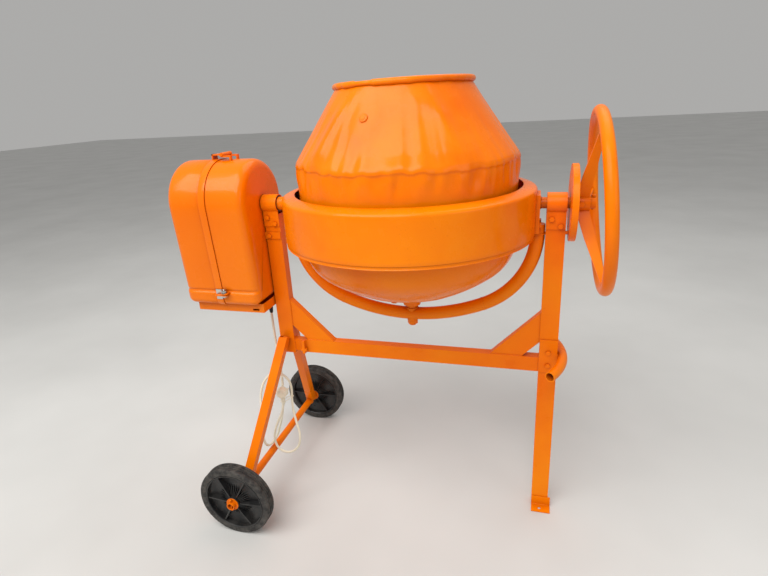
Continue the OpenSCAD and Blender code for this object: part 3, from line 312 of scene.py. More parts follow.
def make_materials():
    return {
        "paint": brushed_paint("frame_paint", 0.32, 0.30, 0.06),
        "drum_paint": brushed_paint("drum_paint", 0.24, 0.22, 0.16, 0.40),
        "housing_paint": smooth_paint("housing_paint"),
        "zinc": bare_metal("zinc", (0.78, 0.78, 0.76), (0.55, 0.55, 0.53), 0.22, 0.42),
        "bare_steel": bare_metal("turned_steel", (0.62, 0.61, 0.60), (0.42, 0.41, 0.40),
                                 0.28, 0.48, (0.2, 1.0, 1.0)),
        "casting": cast_iron("casting"),
        "black_plastic": black_moulding("black_plastic", 0.42, 0.25),
        "wheel_plastic": black_moulding("wheel_plastic", 0.32, 0.16),
        "belt_rubber": black_moulding("belt_rubber", 0.65, 0.30),
        "wheel_rubber": tyre_rubber("tyre_rubber"),
        "cord_sheath": plain_plastic("cord_sheath", (0.88, 0.84, 0.69), (0.79, 0.74, 0.58), 0.42),
        "start_green": plain_plastic("start_green", (0.03, 0.42, 0.10), (0.02, 0.33, 0.08), 0.30),
        "stop_red": plain_plastic("stop_red", (0.70, 0.03, 0.02), (0.55, 0.02, 0.015), 0.30),
    }


# ---------- mesh helpers ----------

BOX_FACES = [(0, 1, 3, 2), (4, 6, 7, 5), (0, 4, 5, 1), (2, 3, 7, 6), (0, 2, 6, 4), (1, 5, 7, 3)]
EDGE_ANGLE = math.radians(32)       # sharper folds than this count as edges
FLAT_ANGLE = math.radians(0.5)      # shallower folds than this count as flat
SAME_PLACE = 0.00001

def add_piece(name, mesh, material, body, hides=(), slot="paint"):
    """Puts a finished mesh into the scene as a piece that rides on a body."""
    piece = bpy.data.objects.new(name, mesh)
    bpy.context.scene.collection.objects.link(piece)
    mesh.materials.append(material)
    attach(piece, body)
    if hides:
        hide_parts(*hides)
    return piece


def mesh_from(name, points, faces, sharp=35):
    mesh = bpy.data.meshes.new(name)
    mesh.from_pydata(points, [], faces)
    work = bmesh.new()
    work.from_mesh(mesh)
    bmesh.ops.recalc_face_normals(work, faces=work.faces)
    work.to_mesh(mesh)
    work.free()
    mesh.shade_smooth()
    mesh.set_sharp_from_angle(angle=math.radians(sharp))
    return mesh


def grid_faces(rows, columns, close_rows=False, cap_ends=False, first=0):
    """Faces between rings of points. Each ring is closed on itself."""
    faces = []
    for row in range(rows if close_rows else rows - 1):
        below, above = first + row * columns, first + (row + 1) % rows * columns
        for column in range(columns):
            after = (column + 1) % columns
            faces.append((below + column, below + after, above + after, above + column))
    if cap_ends:
        faces.append(tuple(first + column for column in range(columns)))
        last = first + (rows - 1) * columns
        faces.append(tuple(last + column for column in reversed(range(columns))))
    return faces


def lathe_points(profile, turns, place):
    """Rings of points about a vertical axis. place(radius, height, angle) moves each one."""
    points = []
    for radius, height in profile:
        for step in range(turns):
            points.append(place(radius, height, 2 * math.pi * step / turns))
    return points


def about_z(x, y):
    """Places lathed points about an upright line."""
    def place(radius, height, angle):
        return (x + radius * math.cos(angle), y + radius * math.sin(angle), height)

    return place


def about_y(x, y, z):
    """Places lathed points about a line along Y, with heights counted from y."""
    def place(radius, height, angle):
        return (x + radius * math.cos(angle), y + height, z + radius * math.sin(angle))

    return place


round_z = about_z(DRUM_X, 0)


def mirror(profile):
    """A profile's mirror image about height 0, in reverse order."""
    return [(radius, -height) for radius, height in reversed(profile)]


def lathe(name, profile, turns=128, place=round_z, closed=True, sharp=35):
    points = lathe_points(profile, turns, place)
    faces = grid_faces(len(profile), turns, close_rows=closed)
    return mesh_from(name, points, faces, sharp)


def arc_points(centre, radius, start, end, steps):
    """Points of an arc in degrees, ends included."""
    turn = [math.radians(start + (end - start) * step / steps) for step in range(steps + 1)]
    return [(centre[0] + radius * math.cos(a), centre[1] + radius * math.sin(a)) for a in turn]


def tube_mesh(name, path, radii, sides=12, closed=False, sharp=60):
    """A tube along a path. radii is one radius or one for each point of the path."""
    path = [Vector(point) for point in path]
    count = len(path)
    if not isinstance(radii, (list, tuple)):
        radii = [radii] * count
    points = []
    side = None
    for i, centre in enumerate(path):
        before = path[i - 1] if i or closed else centre
        after = path[(i + 1) % count] if i < count - 1 or closed else centre
        heading = (after - before).normalized()
        if side is None:
            side = heading.orthogonal()
        side = (side - heading * side.dot(heading)).normalized()
        across = heading.cross(side)
        for step in range(sides):
            a = 2 * math.pi * step / sides
            points.append(centre + radii[i] * (math.cos(a) * side + math.sin(a) * across))
    faces = grid_faces(count, sides, close_rows=closed, cap_ends=not closed)
    return mesh_from(name, points, faces, sharp)


def joined(name, meshes, sharp=35):
    """One mesh from several."""
    points, faces = [], []
    for mesh in meshes:
        first = len(points)
        points += [vertex.co.copy() for vertex in mesh.vertices]
        faces += [tuple(first + i for i in face.vertices) for face in mesh.polygons]
        bpy.data.meshes.remove(mesh)
    return mesh_from(name, points, faces, sharp)


def box_mesh(name, low, high):
    corners = [(x, y, z) for x in (low[0], high[0]) for y in (low[1], high[1])
               for z in (low[2], high[2])]
    return mesh_from(name, corners, BOX_FACES)


def soften(piece, width):
    """Rounds a piece's edges."""
    bevel = piece.modifiers.new("edges", "BEVEL")
    bevel.width = width
    bevel.segments = 2
    bevel.limit_method = "ANGLE"
    bevel.angle_limit = EDGE_ANGLE
    bevel.harden_normals = True


def rounded_copy(node, width, material, slot):
    """A copy of a CAD node with its flat faces cleaned up and its edges rounded."""
    mesh = frame["nodes"][node].data.copy()
    mesh.materials.clear()
    work = bmesh.new()
    work.from_mesh(mesh)
    bmesh.ops.remove_doubles(work, verts=work.verts, dist=SAME_PLACE)
    bmesh.ops.dissolve_limit(work, angle_limit=FLAT_ANGLE, verts=work.verts, edges=work.edges)
    work.to_mesh(mesh)
    work.free()
    if mesh.attributes.get("custom_normal"):
        mesh.attributes.remove(mesh.attributes["custom_normal"])
    mesh.shade_smooth()
    mesh.set_sharp_from_angle(angle=EDGE_ANGLE)
    piece = add_piece(node + "_rounded", mesh, material, BODY_OF[node], (node,), slot)
    soften(piece, width)


# ---------- cord ----------

CORD_DIAMETER = 0.008
CORD_POINTS = [
    (-488, 10, 628), (-488, 9, 585), (-487, 8, 540), (-484, 5, 495), (-479, 0, 450),
    (-474, -6, 405), (-470, -14, 360), (-468, -26, 315), (-470, -34, 272), (-477, -38, 232),
    (-488, -41, 196), (-498, -46, 166), (-507, -61, 147), (-513, -82, 143), (-517, -99, 156),
    (-520, -105, 186), (-521, -98, 226), (-524, -87, 266), (-528, -76, 304), (-527, -66, 342),
    (-516, -58, 378), (-494, -52, 405), (-468, -47, 413), (-446, -38, 400), (-436, -25, 370),
    (-436, -18, 335), (-437, -22, 300), (-432, -32, 262), (-418, -46, 224), (-405, -58, 186),
    (-409, -66, 146), (-432, -70, 120), (-462, -70, 112), (-487, -72, 127), (-497, -72, 160),
    (-491, -70, 198), (-477, -66, 234), (-461, -60, 268), (-452, -56, 303),
]
PLUG_CENTRE = Vector((DRUM_X - 0.452, -0.056, 0.345))


def cord_route(steps=6):
    """Smooth curve through the cord's points, in the row frame."""
    spots = [Vector((x * MM + DRUM_X, y * MM, z * MM)) for x, y, z in CORD_POINTS]

    def spot(i):
        return spots[max(0, min(len(spots) - 1, i))]

    route = []
    for i in range(len(spots) - 1):
        p0, p1, p2, p3 = spot(i - 1), spot(i), spot(i + 1), spot(i + 2)
        for step in range(steps):
            t = step / steps
            route.append(0.5 * (2 * p1 + (p2 - p0) * t + (2 * p0 - 5 * p1 + 4 * p2 - p3) * t * t
                                + (3 * p1 - p0 - 3 * p2 + p3) * t * t * t))
    route.append(spots[-1])
    return route


def make_cord(materials):
    curve = bpy.data.curves.new("power_lead", "CURVE")
    curve.dimensions = "3D"
    curve.bevel_depth = CORD_DIAMETER / 2
    curve.bevel_resolution = 5
    route = cord_route()
    spline = curve.splines.new("POLY")
    spline.points.add(len(route) - 1)
    for point, place in zip(spline.points, route):
        point.co = (*place, 1)
    lead = bpy.data.objects.new("power_lead", curve)
    bpy.context.scene.collection.objects.link(lead)
    curve.materials.append(materials["cord_sheath"])
    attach(lead, "stand")
    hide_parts("power_cord")
    plug = make_plug(materials)
    tie = make_tie(materials)
    exit_point = tuple(route[0])


def make_plug(materials):
    """Angled two-pin plug: a round body, a neck for the lead below and two pins behind."""
    radius, half, edge = 0.0185, 0.011, 0.003
    rim = radius - edge
    seam, seam_depth = 0.0015, 0.0006
    profile = [(0.001, -half), (0.011, -half), (0.0125, -half - 0.0008), (0.0145, -half)]
    profile += arc_points((rim, -half + edge), edge, -90, 0, 4)
    profile += [(radius, -seam), (radius - seam_depth, -0.0008), (radius - seam_depth, 0.0008),
                (radius, seam)]
    profile += arc_points((rim, half - edge), edge, 0, 90, 4)
    profile += [(0.001, half)]
    points = lathe_points(profile, 40, about_y(*PLUG_CENTRE))
    body = mesh_from("plug_body", points, grid_faces(len(profile), 40, cap_ends=True))

    neck_top, neck_length, neck_steps = 0.010, 0.032, 14
    path, radii = [], []
    for step in range(neck_steps + 1):
        share = step / neck_steps
        rib = 0.0006 if step % 2 and step > 4 else 0
        path.append(PLUG_CENTRE - Vector((0, 0, neck_top + neck_length * share)))
        radii.append(0.0070 - 0.0012 * share + rib)
    pieces = [body, tube_mesh("plug_neck", path, radii, 20)]

    pin_places, pin_radii = (0, 0.010, 0.0175, 0.0195), (0.0024, 0.0024, 0.0024, 0.0015)
    for pin_x in (-0.0095, 0.0095):
        path = [PLUG_CENTRE + Vector((pin_x, half - 0.001 + along, 0)) for along in pin_places]
        pieces.append(tube_mesh("plug_pin", path, pin_radii, 14))
    return add_piece("mains_plug", joined("mains_plug", pieces), materials["cord_sheath"],
                     "stand", ("power_plug",), "cord_sheath")


def make_tie(materials):
    """Tight loop that ties the plug's neck to the run of lead beside it."""
    height, thickness, steps = 0.312, 0.0012, 12
    neck = Vector((PLUG_CENTRE.x, PLUG_CENTRE.y))
    run = Vector((DRUM_X - 0.4367, -0.0206))
    across = math.atan2(run.y - neck.y, run.x - neck.x)
    path = []
    for centre, reach, start in ((neck, 0.0086, 90), (run, 0.0056, -90)):
        for step in range(steps + 1):
            a = across + math.radians(start + 180 * step / steps)
            path.append((centre.x + reach * math.cos(a), centre.y + reach * math.sin(a), height))
    band = tube_mesh("hank_tie", path, thickness, 8, closed=True)
    return add_piece("hank_tie", band, materials["cord_sheath"], "stand", (), "cord_sheath")


def make_strain_relief(materials):
    """Tapered and ribbed sleeve where the lead leaves the tray."""
    top, length = 0.650, 0.040
    bore, collar, neck = 0.0042, 0.0125, 0.0095
    ribs, rib_step, rib_depth, taper = 11, 0.003, 0.0010, 0.00028
    profile = [(bore, top), (collar, top), (collar, top - 0.004), (neck, top - 0.005)]
    for i in range(ribs):
        height = top - 0.006 - i * rib_step
        wide = 0.0085 - taper * i
        profile += [(wide, height), (wide, height - 0.0018),
                    (wide - rib_depth, height - 0.0020), (wide - rib_depth, height - 0.0028)]
    profile += [(bore, top - length)]
    relief = lathe("strain_relief", profile, turns=32, place=about_z(DRUM_X - 0.488, 0.010))
    add_piece("strain_relief", relief, materials["black_plastic"], "stand", ("cord_gland",),
              "black_plastic")


# ---------- drum ----------

SHEET = 0.002
SHOULDER = 1.110
CONE_BOTTOM = 0.962
DRUM_RADIUS = 0.302
MOUTH_RADIUS = 0.179
CONE_TOP = 1.293
BEAD_HEIGHT = 1.300
BEAD_RADIUS = 0.009
BLADE_AZIMUTHS = (259, 79)
BLADE_BOLT_HEIGHT = 1.220
FACET_MIDDLE = math.radians(272)
FACET_HALF_BELOW = math.radians(38)
FACET_HALF_ABOVE = math.radians(27)
FACET_CREASE = 0.0100
FACET_HOLLOW = 0.0070
FACET_CREASE_SPREAD = 0.22


def bumps(x, y, z, scale, seed=0.0):
    return noise.noise(Vector((x * scale + seed, y * scale - seed, z * scale + 2 * seed)))


def facing(angle):
    """Level unit vector that points out from the drum axis."""
    return Vector((math.cos(angle), math.sin(angle), 0))


def part_of(value, span):
    """value / span, held between 0 and 1."""
    return min(1.0, max(0.0, value / span))


def shoulder_wave(angle):
    """How far the lapped seam at the shoulder wanders up and down."""
    ring = facing(angle)
    slow = noise.noise(ring * 2.1 + Vector((5, 1, 0)))
    quick = noise.noise(ring * 9.5 + Vector((2, 8, 0)))
    small = noise.noise(ring * 24.0 + Vector((7, 3, 0)))
    return 0.006 * slow + 0.0055 * quick + 0.0028 * small


def dent(radius, height, angle):
    """Inward and outward dents of the hammered upper drum."""
    x, y = radius * math.cos(angle), radius * math.sin(angle)
    band_middle, band_reach = SHOULDER - 0.028, 0.030
    near_shoulder = math.exp(-((height - band_middle) / band_reach) ** 2)
    around = facing(angle) * 13
    ripple = noise.noise(around + Vector((0, 0, height * 7)))
    fine = noise.noise(around * 2.3 + Vector((4, 4, height * 16)))
    broad = bumps(x, y, height, 7.5, 3.1)
    middle = bumps(x, y, height, 19, 9.4)
    fade = part_of(height - CONE_BOTTOM, 0.05)
    upper = part_of(CONE_TOP - height, 0.03)
    return fade * (near_shoulder * (0.0056 * ripple + 0.0030 * fine)
                   + upper * (0.0022 * broad + 0.0007 * middle))


def away_from_blades(height, angle):
    """0 where a blade is bolted to the cone and 1 well away from it."""
    cone_radius, clear = 0.23, 0.045
    free = 1.0
    for azimuth in BLADE_AZIMUTHS:
        turn = math.remainder(angle - math.radians(azimuth), 2 * math.pi)
        reach = math.hypot(turn * cone_radius, height - BLADE_BOLT_HEIGHT)
        free *= 1 - math.exp(-(reach / clear) ** 4)
    return free


def flattened(height, angle):
    """The front of the cone has been knocked nearly flat between two soft creases."""
    climb = part_of(height - SHOULDER, CONE_TOP - SHOULDER)
    half = FACET_HALF_BELOW + (FACET_HALF_ABOVE - FACET_HALF_BELOW) * climb
    share = math.remainder(angle - FACET_MIDDLE, 2 * math.pi) / half
    rise = part_of(height - SHOULDER, 0.03)
    fall = part_of(CONE_TOP - height, 0.07)
    if abs(share) < 1:
        push = FACET_CREASE * abs(share) ** 3 - FACET_HOLLOW * (1 - share * share)
    else:
        push = FACET_CREASE * math.exp(-((abs(share) - 1) / FACET_CREASE_SPREAD) ** 2)
    return push * rise * fall


def place_cone(radius, height, angle):
    if height > SHOULDER:
        share = (CONE_TOP - height) / (CONE_TOP - SHOULDER)
    else:
        share = (height - CONE_BOTTOM) / (SHOULDER - CONE_BOTTOM)
    free = away_from_blades(height, angle)
    moved = height + shoulder_wave(angle) * max(0.0, share) * free
    push = flattened(height, angle) + dent(radius, height, angle)
    return round_z(radius + push * free, moved, angle)


def cone_profile():
    """Outer side from the bottom up, then the inner side back down."""
    bend, lap, wall_steps, slope_steps = 0.026, 0.0014, 26, 40
    top_radius = MOUTH_RADIUS - 0.001
    slope = math.atan2(DRUM_RADIUS - top_radius, CONE_TOP - SHOULDER)
    bend_start = SHOULDER - bend * math.tan(slope / 2)
    wall = DRUM_RADIUS - lap
    rise = bend_start - 0.003 - CONE_BOTTOM
    outer = [(wall, CONE_BOTTOM + rise * i / wall_steps) for i in range(wall_steps + 1)]
    outer += [(wall + lap * 0.9, bend_start - 0.0015)]
    outer += arc_points((DRUM_RADIUS - bend, bend_start), bend, 0, math.degrees(slope), 5)
    start = outer[-1]
    for i in range(1, slope_steps + 1):
        share = i / slope_steps
        outer.append((start[0] + (top_radius - start[0]) * share,
                      start[1] + (CONE_TOP - start[1]) * share))
    inner = [(radius - SHEET - 0.001, height) for radius, height in reversed(outer)]
    return outer + inner


def mouth_bead():
    """Rolled edge of the mouth, knocked about, with the lap where the roll was closed."""
    path, radii = [], []
    turns = 220
    lap_start, lap_end, lap_depth = 243, 259, 0.0018
    for step in range(turns):
        a = 2 * math.pi * step / turns
        ring = facing(a)
        slow = noise.noise(ring * 1.7 + Vector((3, 3, 3)))
        quick = noise.noise(ring * 7 + Vector((9, 1, 4)))
        low = 0.0030 * (1 - math.cos(a)) / 2 + 0.0022 * (quick + 1) / 2 + 0.0016 * (slow + 1) / 2
        reach = MOUTH_RADIUS + 0.0015 * quick + 0.002 * slow
        path.append(round_z(reach, BEAD_HEIGHT - low, a))
        size = BEAD_RADIUS - 0.0012 + 0.0009 * quick
        if lap_start < math.degrees(a) < lap_end:
            size -= lap_depth
        radii.append(size)
    return tube_mesh("mouth_bead", path, radii, 16, closed=True)


def place_bowl(radius, height, angle):
    """Shallow beats in the lower bowl, fading out at its hub and its wall."""
    x, y = radius * math.cos(angle), radius * math.sin(angle)
    low = part_of(0.90 - height, 0.10) * part_of(radius, 0.12)
    push = low * (0.0022 * bumps(x, y, height, 9, 1.7) + 0.0010 * bumps(x, y, height, 26, 6.2))
    return round_z(radius, height + push, angle)


def bowl_profile():
    """Dished bottom, knuckle and upright wall, then the inner side back down."""
    dish, knuckle, bottom = 0.419, 0.110, 0.708
    knuckle_x = DRUM_RADIUS - knuckle
    bend = math.asin(knuckle_x / (dish - knuckle))
    knuckle_z = bottom + dish - (dish - knuckle) * math.cos(bend)
    bend_end = math.degrees(bend) - 90
    outer = arc_points((0, bottom + dish), dish, -88, bend_end, 26)
    outer += arc_points((knuckle_x, knuckle_z), knuckle, bend_end, 0, 16)[1:]
    outer += [(DRUM_RADIUS, 0.925), (DRUM_RADIUS, CONE_BOTTOM)]
    inner = []
    for i, (radius, height) in enumerate(outer):
        before, after = outer[max(i - 1, 0)], outer[min(i + 1, len(outer) - 1)]
        along = Vector((after[0] - before[0], after[1] - before[1])).normalized()
        inner.append((radius - along.y * SHEET, height + along.x * SHEET))
    return outer + inner[::-1]


def make_drum(materials):
    cone = lathe("cone", cone_profile(), turns=288, place=place_cone, sharp=50)
    add_piece("drum_upper_half", joined("drum_upper_half", [cone, mouth_bead()], 50),
              materials["drum_paint"], "drum", ("drum_cone",))
    bowl = lathe("bowl", bowl_profile(), turns=192, place=place_bowl)
    hub_profile = [(0.0152, 0.673), (0.0250, 0.673), (0.0260, 0.674), (0.0260, 0.761),
                   (0.0250, 0.762), (0.0152, 0.762)]
    hub = lathe("hub", hub_profile, turns=48)
    weld = weld_ring("hub_weld", (DRUM_X, 0, 0.7085), 0.0268, 0.0032, 64)
    add_piece("drum_lower_half", joined("drum_lower_half", [bowl, hub, weld]),
              materials["drum_paint"], "drum", ("drum_bowl",))


def make_blade_bolt_heads(materials):
    """Low round heads of the bolts that hold the mixing blades to the cone."""
    turns = 24
    slope = math.atan2(DRUM_RADIUS - MOUTH_RADIUS, CONE_TOP - SHOULDER)
    reach = DRUM_RADIUS - (BLADE_BOLT_HEIGHT - SHOULDER) * math.tan(slope)
    profile = [(0.0110, -0.0010), (0.0110, 0.0016), (0.0100, 0.0028), (0.0070, 0.0036),
               (0.0035, 0.0040), (0.0005, 0.0041)]
    heads = []
    for azimuth in BLADE_AZIMUTHS:
        level = facing(math.radians(azimuth))
        out = level * math.cos(slope) + Vector((0, 0, math.sin(slope)))
        side = out.cross(level).normalized()
        up = side.cross(out)
        seat = Vector((DRUM_X, 0, BLADE_BOLT_HEIGHT)) + level * reach

        def about_bolt(radius, height, angle):
            return seat + out * height + radius * (math.cos(angle) * side + math.sin(angle) * up)

        points = lathe_points(profile, turns, about_bolt)
        heads.append(mesh_from("head", points, grid_faces(len(profile), turns, cap_ends=True)))
    add_piece("blade_bolt_heads", joined("blade_bolt_heads", heads), materials["drum_paint"],
              "drum")


def make_guard(materials):
    """Band round the ring gear with its rolled-in top lip, and the ring that closes it below."""
    radius, bottom, shoulder, lip, lip_height = 0.350, 0.902, 1.014, 0.314, 1.030
    bend, edge, rise_steps = 0.009, 0.002, 12
    rise = shoulder - bottom - 2 * edge
    outer = [(radius - 0.0006, bottom), (radius, bottom + edge)]
    outer += [(radius, bottom + edge + rise * i / rise_steps) for i in range(1, rise_steps)]
    outer += arc_points((radius - bend, shoulder), bend, 0, 66, 8)
    outer += [(0.330, 1.0255), (lip + 0.004, lip_height - 0.0006), (lip, lip_height - 0.0012)]
    inner = [(lip + 0.0004, lip_height - 0.0030), (lip + 0.004, lip_height - 0.0030),
             (0.330, 1.0230)]
    inner += arc_points((radius - bend, shoulder), bend - SHEET, 66, 0, 6)
    inner += [(radius - SHEET, bottom)]

    def place_guard(r, height, angle):
        wave = 0.0009 * noise.noise(facing(angle) * 3 + Vector((0, 0, height * 6)))
        low = min(1.0, (height - bottom) / 0.02)
        return round_z(r - abs(wave) * low, height, angle)

    band = lathe("guard_band", outer + inner, turns=256, place=place_guard)
    add_piece("guard_band", band, materials["drum_paint"], "yoke", ("gear_guard",))

    skirt = [(0.3120, 0.9020), (0.3470, 0.9020), (0.3472, 0.8950), (0.3480, 0.8942),
             (0.3484, 0.8928), (0.3474, 0.8918), (0.3460, 0.8924), (0.3454, 0.8940),
             (0.3452, 0.8990), (0.3130, 0.8995), (0.3120, 0.9000)]
    ring = lathe("closing_ring", skirt, turns=256)
    add_piece("closing_ring", ring, materials["drum_paint"], "yoke", ("guard_closing_ring",))


# ---------- welds ----------

WELD_SIZE = 0.0026


def ripple(step, wander):
    """Thickness of a bead along its length, as a share of its size."""
    return 0.85 + 0.18 * math.sin(step * 2.1) + wander


def weld_ring(name, centre, radius, size, turns, axis="z"):
    """Weld bead round a tube: small overlapping ripples."""
    path, radii = [], []
    for step in range(turns):
        a = 2 * math.pi * step / turns
        c, s = radius * math.cos(a), radius * math.sin(a)
        offset = {"x": (0, c, s), "y": (c, 0, s), "z": (c, s, 0)}[axis]
        path.append(Vector(centre) + Vector(offset))
        wander = noise.noise(Vector((math.cos(a) * 4, math.sin(a) * 4, radius * 50)))
        radii.append(size * ripple(step, 0.25 * wander))
    return tube_mesh(name, path, radii, 8, closed=True)


def weld_line(start, end):
    """Weld bead along a straight joint."""
    ripple_length, thin_end = 0.0016, 0.55
    start, end = Vector(start), Vector(end)
    steps = max(6, int((end - start).length / ripple_length))
    path, radii = [], []
    for step in range(steps + 1):
        path.append(start.lerp(end, step / steps))
        wander = noise.noise(path[-1] * 160)
        share = thin_end if step in (0, steps) else 1.0
        radii.append(WELD_SIZE * share * ripple(step, 0.30 * wander))
    return tube_mesh("weld", path, radii, 8)


def rel(x, y, z):
    """A place given in millimetres from the drum axis."""
    return (x * MM + DRUM_X, y * MM, z * MM)


def stand_beads():
    """Both ends of the stand's straight beads, in millimetres from the drum axis."""
    left, right = -403, 375         # inner faces of the two posts
    right_out = 425                 # outer face of the right post
    beam_top, brace_low, brace_high = 531, 579, 671
    beads = []
    for side in (-1, 1):
        brace, tube, socket = 12 * side, 15 * side, 13 * side
        beads += [((left, brace, brace_high), (left, brace, brace_low)),
                  ((-263, brace, beam_top), (-355, brace, beam_top)),
                  ((right, brace, brace_high), (right, brace, brace_low)),
                  ((235, brace, beam_top), (327, brace, beam_top)),
                  ((right, tube, 486), (right, tube, beam_top)),
                  ((left, socket, 490), (left, socket, 528)),
                  ((-362, tube, 487), (-362, tube, 530))]
    beads += [((left, -13, 529), (left, 13, 529)),
              ((right, -15, beam_top), (right, 15, beam_top)),
              ((right_out, -17, 520), (right_out, -17, 546)),
              ((right_out, 15, 520), (right_out, 15, 546)),
              ((right, -18, 3), (right_out, -18, 3))]
    return beads


def make_welds(materials):
    stand = [weld_line(rel(*start), rel(*end)) for start, end in stand_beads()]
    for y in (-247, 247, -277, 277):
        stand.append(weld_ring("weld", rel(-508, y, 118), 0.0135, WELD_SIZE, 44, "y"))
    add_piece("stand_welds", joined("stand_welds", stand, 60), materials["paint"], "stand")
    yoke = []
    for side, trunnion in ((-1, 0.0205), (1, 0.0155)):
        yoke.append(weld_ring("weld", rel(side * 355, 0, 898), 0.0195, WELD_SIZE, 56, "z"))
        yoke.append(weld_ring("weld", rel(side * 358, 0, 980), trunnion, WELD_SIZE, 56, "x"))
    yoke.append(weld_ring("weld", rel(0, 0, 662), 0.0168, WELD_SIZE, 48, "z"))
    add_piece("yoke_welds", joined("yoke_welds", yoke, 60), materials["paint"], "yoke")


# ---------- motor housing ----------

SEAM_X = DRUM_X - 0.577
SHELL_RIGHT = DRUM_X - 0.456
COVER_LEFT = DRUM_X - 0.716
STEP_HEIGHT = 0.724
HOUSING_RADIUS = 0.125          # round top
HOUSING_TOP_Z = 0.990           # its centre
FOOT_CORNER = 0.018
FOOT_Y = 0.090                  # centre of the foot's corner
FOOT_Z = 0.698
LEAST_CORNER = 0.001
CLAMP_X = DRUM_X - 0.566
CLAMP_Y = -0.120
HINGE_X = DRUM_X - 0.562
HINGE_Z = 1.130


def stepped_out(y, z):
    """The foot stands out below its step, with a groove pressed just above it."""
    if y < 0.06:
        return y
    t = part_of(STEP_HEIGHT - z, 0.006)
    groove = math.exp(-((z - STEP_HEIGHT - 0.004) / 0.0035) ** 2)
    return y + 0.0036 * t * t * (3 - 2 * t) - 0.0026 * groove


def housing_ring(x, inset):
    """Closed ring of points on the housing's outline: round top, tapering to a stepped foot."""
    arc_steps, corner_steps, side_steps, foot_steps, foot_from = 18, 8, 8, 24, 0.84
    top = HOUSING_RADIUS - inset
    corner = max(FOOT_CORNER - inset, LEAST_CORNER)
    past_corner = max(0.0, inset - FOOT_CORNER + LEAST_CORNER)
    foot_y, foot_z = FOOT_Y - past_corner, FOOT_Z + past_corner
    drop = foot_z - HOUSING_TOP_Z
    lean = math.atan2(drop, foot_y) + math.acos((top - corner) / math.hypot(foot_y, drop))
    lean_degrees = math.degrees(lean)
    right = arc_points((0, HOUSING_TOP_Z), top, 90, lean_degrees, arc_steps)
    bend = arc_points((foot_y, foot_z), corner, lean_degrees, -90, corner_steps)
    start, end = right[-1], bend[0]
    shares = [foot_from * i / side_steps for i in range(1, side_steps + 1)]
    shares += [foot_from + (1 - foot_from) * i / foot_steps for i in range(1, foot_steps + 1)]
    right += [(start[0] + (end[0] - start[0]) * t, start[1] + (end[1] - start[1]) * t)
              for t in shares]
    right = [(stepped_out(y, z), z) for y, z in right + bend[1:]]
    left = [(-y, z) for y, z in reversed(right[1:])]
    return [(x, y, z) for y, z in right + left]


def circle_ring(x, radius, outline):
    """Circle about the tilt axis with one point facing each point of the outline."""
    circle = []
    for _, y, z in outline:
        a = math.atan2(z - TILT_Z, y)
        circle.append((x, radius * math.cos(a), TILT_Z + radius * math.sin(a)))
    return circle


def between(first, second, share):
    return [tuple(a + (b - a) * share for a, b in zip(p, q)) for p, q in zip(first, second)]


def shell_rings(seam, end, bend, wall, hole=0.002, lip=0.0):
    """Rings from the seam round the outside to the end face and back along the inside."""
    bend_steps, inner_steps = 8, 5
    way = 1 if end > seam else -1
    if lip:
        start = [(0, -lip), (0.020, -lip), (0.0220, -lip * 0.7), (0.0235, 0.0018),
                 (0.0260, 0.0018), (0.0290, 0)]
    else:
        start = [(0, 0.0012), (0.0010, 0)]
    outer = [housing_ring(seam + way * along, inset) for along, inset in start]
    outer.append(housing_ring(end - way * (bend + 0.02), 0))
    for i in range(bend_steps + 1):
        a = math.pi / 2 * i / bend_steps
        outer.append(housing_ring(end - way * bend * (1 - math.sin(a)), bend * (1 - math.cos(a))))
    inner = []
    for i in range(inner_steps + 1):
        a = math.pi / 2 * (1 - i / inner_steps)
        inner.append(housing_ring(end - way * (wall + (bend - wall) * (1 - math.sin(a))),
                                  wall + (bend - wall) * (1 - math.cos(a))))
    inner.append(housing_ring(seam, wall))
    rim = circle_ring(end, hole, outer[-1])
    back = circle_ring(end - way * wall, hole, inner[0])
    end_face = [between(outer[-1], rim, t) for t in (0.4, 0.8)] + [rim]
    end_inside = [back] + [between(back, inner[0], t) for t in (0.2, 0.6)]
    return outer + end_face + end_inside + inner


def shell_mesh(name, rings):
    points = [point for ring in rings for point in ring]
    return mesh_from(name, points, grid_faces(len(rings), len(rings[0]), close_rows=True), 40)


def make_shell(materials):
    """Half of the housing beside the drum, with the tab that the clamp bolt goes through."""
    rings = shell_rings(SEAM_X, SHELL_RIGHT, bend=0.026, wall=0.003, hole=0.024)
    shell = shell_mesh("shell", rings)
    tab = box_mesh("tab", (CLAMP_X - 0.006, CLAMP_Y - 0.008, 0.722),
                   (CLAMP_X + 0.014, CLAMP_Y + 0.013, 0.725))
    add_piece("housing_shell_pressed", joined("housing_shell_pressed", [shell, tab]),
              materials["housing_paint"], "stand", ("housing_shell",), "housing_paint")


